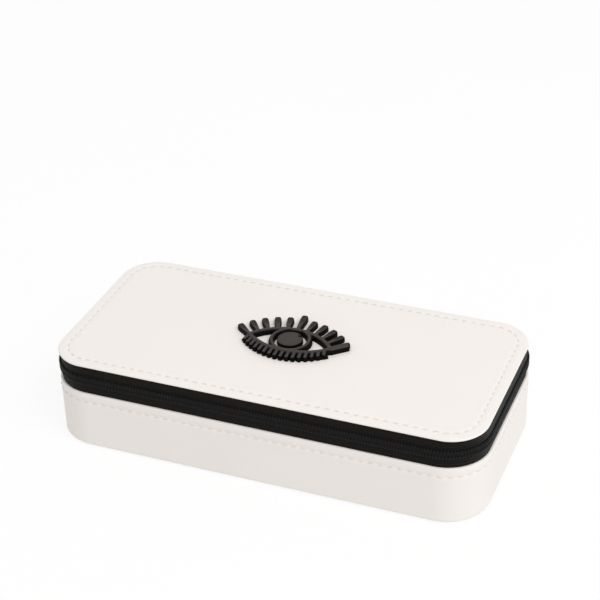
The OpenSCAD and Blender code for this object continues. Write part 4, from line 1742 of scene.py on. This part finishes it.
@dataclass
class Inside:
    """Velvet lining, dividers, ring rolls, lid lining and mirror."""

    roll_count: int = 5
    roll_slack: float = 0.35 * MM
    roll_end: float = 2.2 * MM
    roll_fill: float = 0.8
    roll_pinch: float = 0.8
    wrap_r: float = 0.25 * MM
    sim_scale: float = 10.0
    sim_voxel: float = 1.1 * MM
    sim_frames: int = 20
    glue: float = 0.4 * MM
    cap: float = 0.5 * MM

    def settle(self, made: bpy.types.Object) -> None:
        """Runs the cloth simulation, and keeps each point within the cap of where it started.

        Args:
            made: the pad, at the simulation's scale, with its glued points in the group "held".
        """
        cloth = made.modifiers.new("Cloth", "CLOTH")
        put(
            cloth.settings, quality=6, mass=0.3, use_pressure=True, uniform_pressure_force=4,
            vertex_group_mass="held",
        )
        cloth.settings.effector_weights.gravity = 0
        cloth.collision_settings.use_self_collision = False
        scene = bpy.context.scene
        for number in range(1, self.sim_frames + 1):
            scene.frame_set(number)
        graph = bpy.context.evaluated_depsgraph_get()
        start = np.array([v.co for v in made.data.vertices])
        move = np.array([v.co for v in made.evaluated_get(graph).data.vertices]) - start
        made.modifiers.clear()
        far = np.linalg.norm(move, axis=1, keepdims=True)
        move *= np.minimum(1, self.cap * self.sim_scale / np.maximum(far, 1e-9))
        made.data.vertices.foreach_set("co", (start + move).astype(np.float32).ravel())
        scene.frame_set(1)

    def inflate(self, made: bpy.types.Object, glued_z: float) -> None:
        """Puffs a pad up with a short cloth simulation, at ten times its size.

        Args:
            made: the pad.
            glued_z: points at or below this height stay where they are.
        """
        scale = self.sim_scale
        made.data.transform(Matrix.Scale(scale, 4))
        put(made.modifiers.new("Fuse", "REMESH"), mode="VOXEL", voxel_size=self.sim_voxel * scale)
        baked(made)
        low = [v.index for v in made.data.vertices if v.co.z <= (glued_z + self.glue) * scale]
        made.vertex_groups.new(name="held").add(low, 1.0, "REPLACE")
        self.settle(made)
        made.data.transform(Matrix.Scale(1 / scale, 4))
        put(made.modifiers.new("Finer", "SUBSURF"), levels=1, render_levels=1)
        baked(made)
        tidy(made.data, 70)

    def roll_mesh(self, node: str) -> bpy.types.Mesh:
        """Starting shape of a ring roll: gathered ends and a flat, glued underside.

        Args:
            node: the CAD node that it follows.

        Returns:
            The mesh, with its middle at X = 0.
        """
        low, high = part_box(node)
        axis_z = high.z - (high.x - low.x) / 2
        radius = (high.x - low.x) / 2 - self.roll_slack
        half, end = (high.y - low.y) / 2 - self.roll_slack, self.roll_end
        gather = end * (1 - np.cos(np.linspace(0.3, math.pi / 2, 4)))
        y = np.concatenate([
            [-half], gather - half,
            np.linspace(1.5 * end - half, half - 1.5 * end, 40),
            half - gather[::-1], [half],
        ])
        wide = radius * np.sqrt(1 - self.roll_pinch * ramp(np.abs(y), half - end, end) ** 2)
        x, z = np.moveaxis(wide[:, None, None] * compass(ring(28)), 2, 0)
        z = np.maximum(axis_z + z, low.z)
        points = np.stack([x, np.broadcast_to(y[:, None], x.shape), z], axis=2)
        return grid_mesh(points, False, True)

    def build_rolls(self) -> list[bpy.types.Object]:
        """One puffed ring roll and its copies, every second one turned end for end.

        Returns:
            The pieces.
        """
        first = new_object("ring_roll_pad_1", self.roll_mesh("ring_roll_1"), LINING)
        self.inflate(first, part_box("ring_roll_1")[0].z)
        pads = [first] + [
            new_object(f"ring_roll_pad_{i}", first.data.copy(), LINING)
            for i in range(2, self.roll_count + 1)
        ]
        for i, pad in enumerate(pads):
            node = f"ring_roll_{i + 1}"
            low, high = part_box(node)
            turn = Matrix.Rotation(math.pi * (i % 2), 4, "Z")
            pad.data.transform(Matrix.Translation(((low.x + high.x) / 2, 0, 0)) @ turn)
            placed(pad, "base", node)
        return pads

    def build(self) -> list[bpy.types.Object]:
        """Everything inside, and the finishes of the hidden boards and foam.

        Returns:
            The pieces.
        """
        dress_node("base_board", BOARD)
        dress_node("lid_board", BOARD)
        dress_node("lid_padding", FOAM)
        made = [polished("base_liner", "tray_lining", LINING, "base", self.wrap_r)]
        for node in ("divider_left", "divider_right", "divider_end"):
            made.append(polished(node, node + "_wrap", LINING, "base", self.wrap_r))
        return made + [
            polished("ring_bed", "ring_bed_wrap", LINING, "base", 1.2 * MM),
            polished("lid_liner", "lid_lining_pad", LINING, "lid", 0.45 * MM),
            polished("mirror", "mirror_glass", MIRROR, "lid", 0.3 * MM, 2),
            *self.build_rolls(),
        ]


# ---------------------------------------------------------------- studio


@dataclass(frozen=True)
class Lamp:
    """Soft round lamp: where it stands and how wide it is, in metres, and its power in watts."""

    name: str
    place: tuple[float, float, float]
    size: float
    power: float

    def build(self) -> None:
        """The lamp, aimed at the object."""
        data = bpy.data.lights.new(self.name, "AREA")
        put(data, shape="DISK", size=self.size, energy=self.power)
        aim = Vector((0, 0, CASE.top / 2)) - Vector(self.place)
        turn = aim.to_track_quat("-Z", "Y").to_euler()
        put(linked(self.name, data), location=self.place, rotation_euler=turn)


@dataclass
class Studio:
    """Camera, pale floor and soft lights."""

    eye: tuple[float, float, float] = (236.1 * MM, -566.4 * MM, 440.6 * MM)
    azimuth: float = 22.27
    elevation: float = 31.46
    roll: float = -1.68
    lens: float = 98.9
    floor_half: float = 3.0
    floor_glow: float = 0.86
    world_level: float = 0.655
    lamps: tuple[Lamp, ...] = (
        Lamp("key", (0.97, -0.53, 1.42), 1.1, 15.6),
        Lamp("fill", (-0.6, 0.5, 1.1), 0.9, 1.2),
    )

    def build_camera(self) -> None:
        """Camera that looks down at the front right corner."""
        data = bpy.data.cameras.new("camera")
        put(data, lens=self.lens, sensor_width=36, clip_start=0.01)
        camera = linked("camera", data)
        bpy.context.scene.camera = camera
        place = Matrix.Translation(self.eye)
        for degrees, axis in ((self.azimuth, "Z"), (90 - self.elevation, "X"), (self.roll, "Z")):
            place = place @ Matrix.Rotation(math.radians(degrees), 4, axis)
        camera.matrix_world = place

    def build_floor(self) -> None:
        """Pale floor that shows white round the object and keeps its shadow."""
        mesh = bpy.data.meshes.new("floor")
        half = self.floor_half
        corners = [(-half, -half, 0), (half, -half, 0), (half, half, 0), (-half, half, 0)]
        mesh.from_pydata(corners, [], [(0, 1, 2, 3)])
        material = bpy.data.materials.new("pale_floor")
        material.use_nodes = True
        mesh.materials.append(material)
        graph = Graph(material.node_tree)
        surface = material.node_tree.nodes["Principled BSDF"]
        color = graph.tint(graph.noise(0.08, 2), (0.9, 0.9, 0.9), (0.94, 0.94, 0.94))
        graph.feed(surface, {"Base Color": color, "Roughness": 0.9, "Specular IOR Level": 0.0})
        glow = graph.node("ShaderNodeEmission", inputs={"Color": (1, 1, 1, 1), "Strength": 1.0})
        shares = {0: graph.seen() * self.floor_glow, 1: surface.outputs[0], 2: glow}
        mix = graph.node("ShaderNodeMixShader", inputs=shares)
        graph.feed(material.node_tree.nodes["Material Output"], {"Surface": mix})
        linked("floor", mesh)

    def build_world(self) -> None:
        """Even light from all round, seen as white by the camera and in reflections."""
        world = bpy.data.worlds.new("studio")
        bpy.context.scene.world = world
        world.use_nodes = True
        graph = Graph(world.node_tree)
        level = graph.seen() * (1 - self.world_level) + self.world_level
        inputs = {"Color": (1, 0.995, 0.985, 1), "Strength": level}
        graph.feed(world.node_tree.nodes["Background"], inputs)

    def build(self) -> None:
        """Everything that isn't the object."""
        self.build_camera()
        self.build_floor()
        self.build_world()
        for lamp in self.lamps:
            lamp.build()
        bpy.context.scene.view_settings.view_transform = "Standard"


def main() -> None:
    """Builds the box in order and reports each piece."""
    logging.basicConfig(level=logging.INFO, format="%(name)s: %(message)s")
    for part in (Covers(), Zip(), HingeStrip(), EyeBadge(), Inside()):
        for piece in part.build():
            log.info("%s: %s, %d faces", type(part).__name__, piece.name, len(piece.data.polygons))
    Studio().build()
    bpy.context.view_layer.update()


if __name__ == "__main__":
    main()
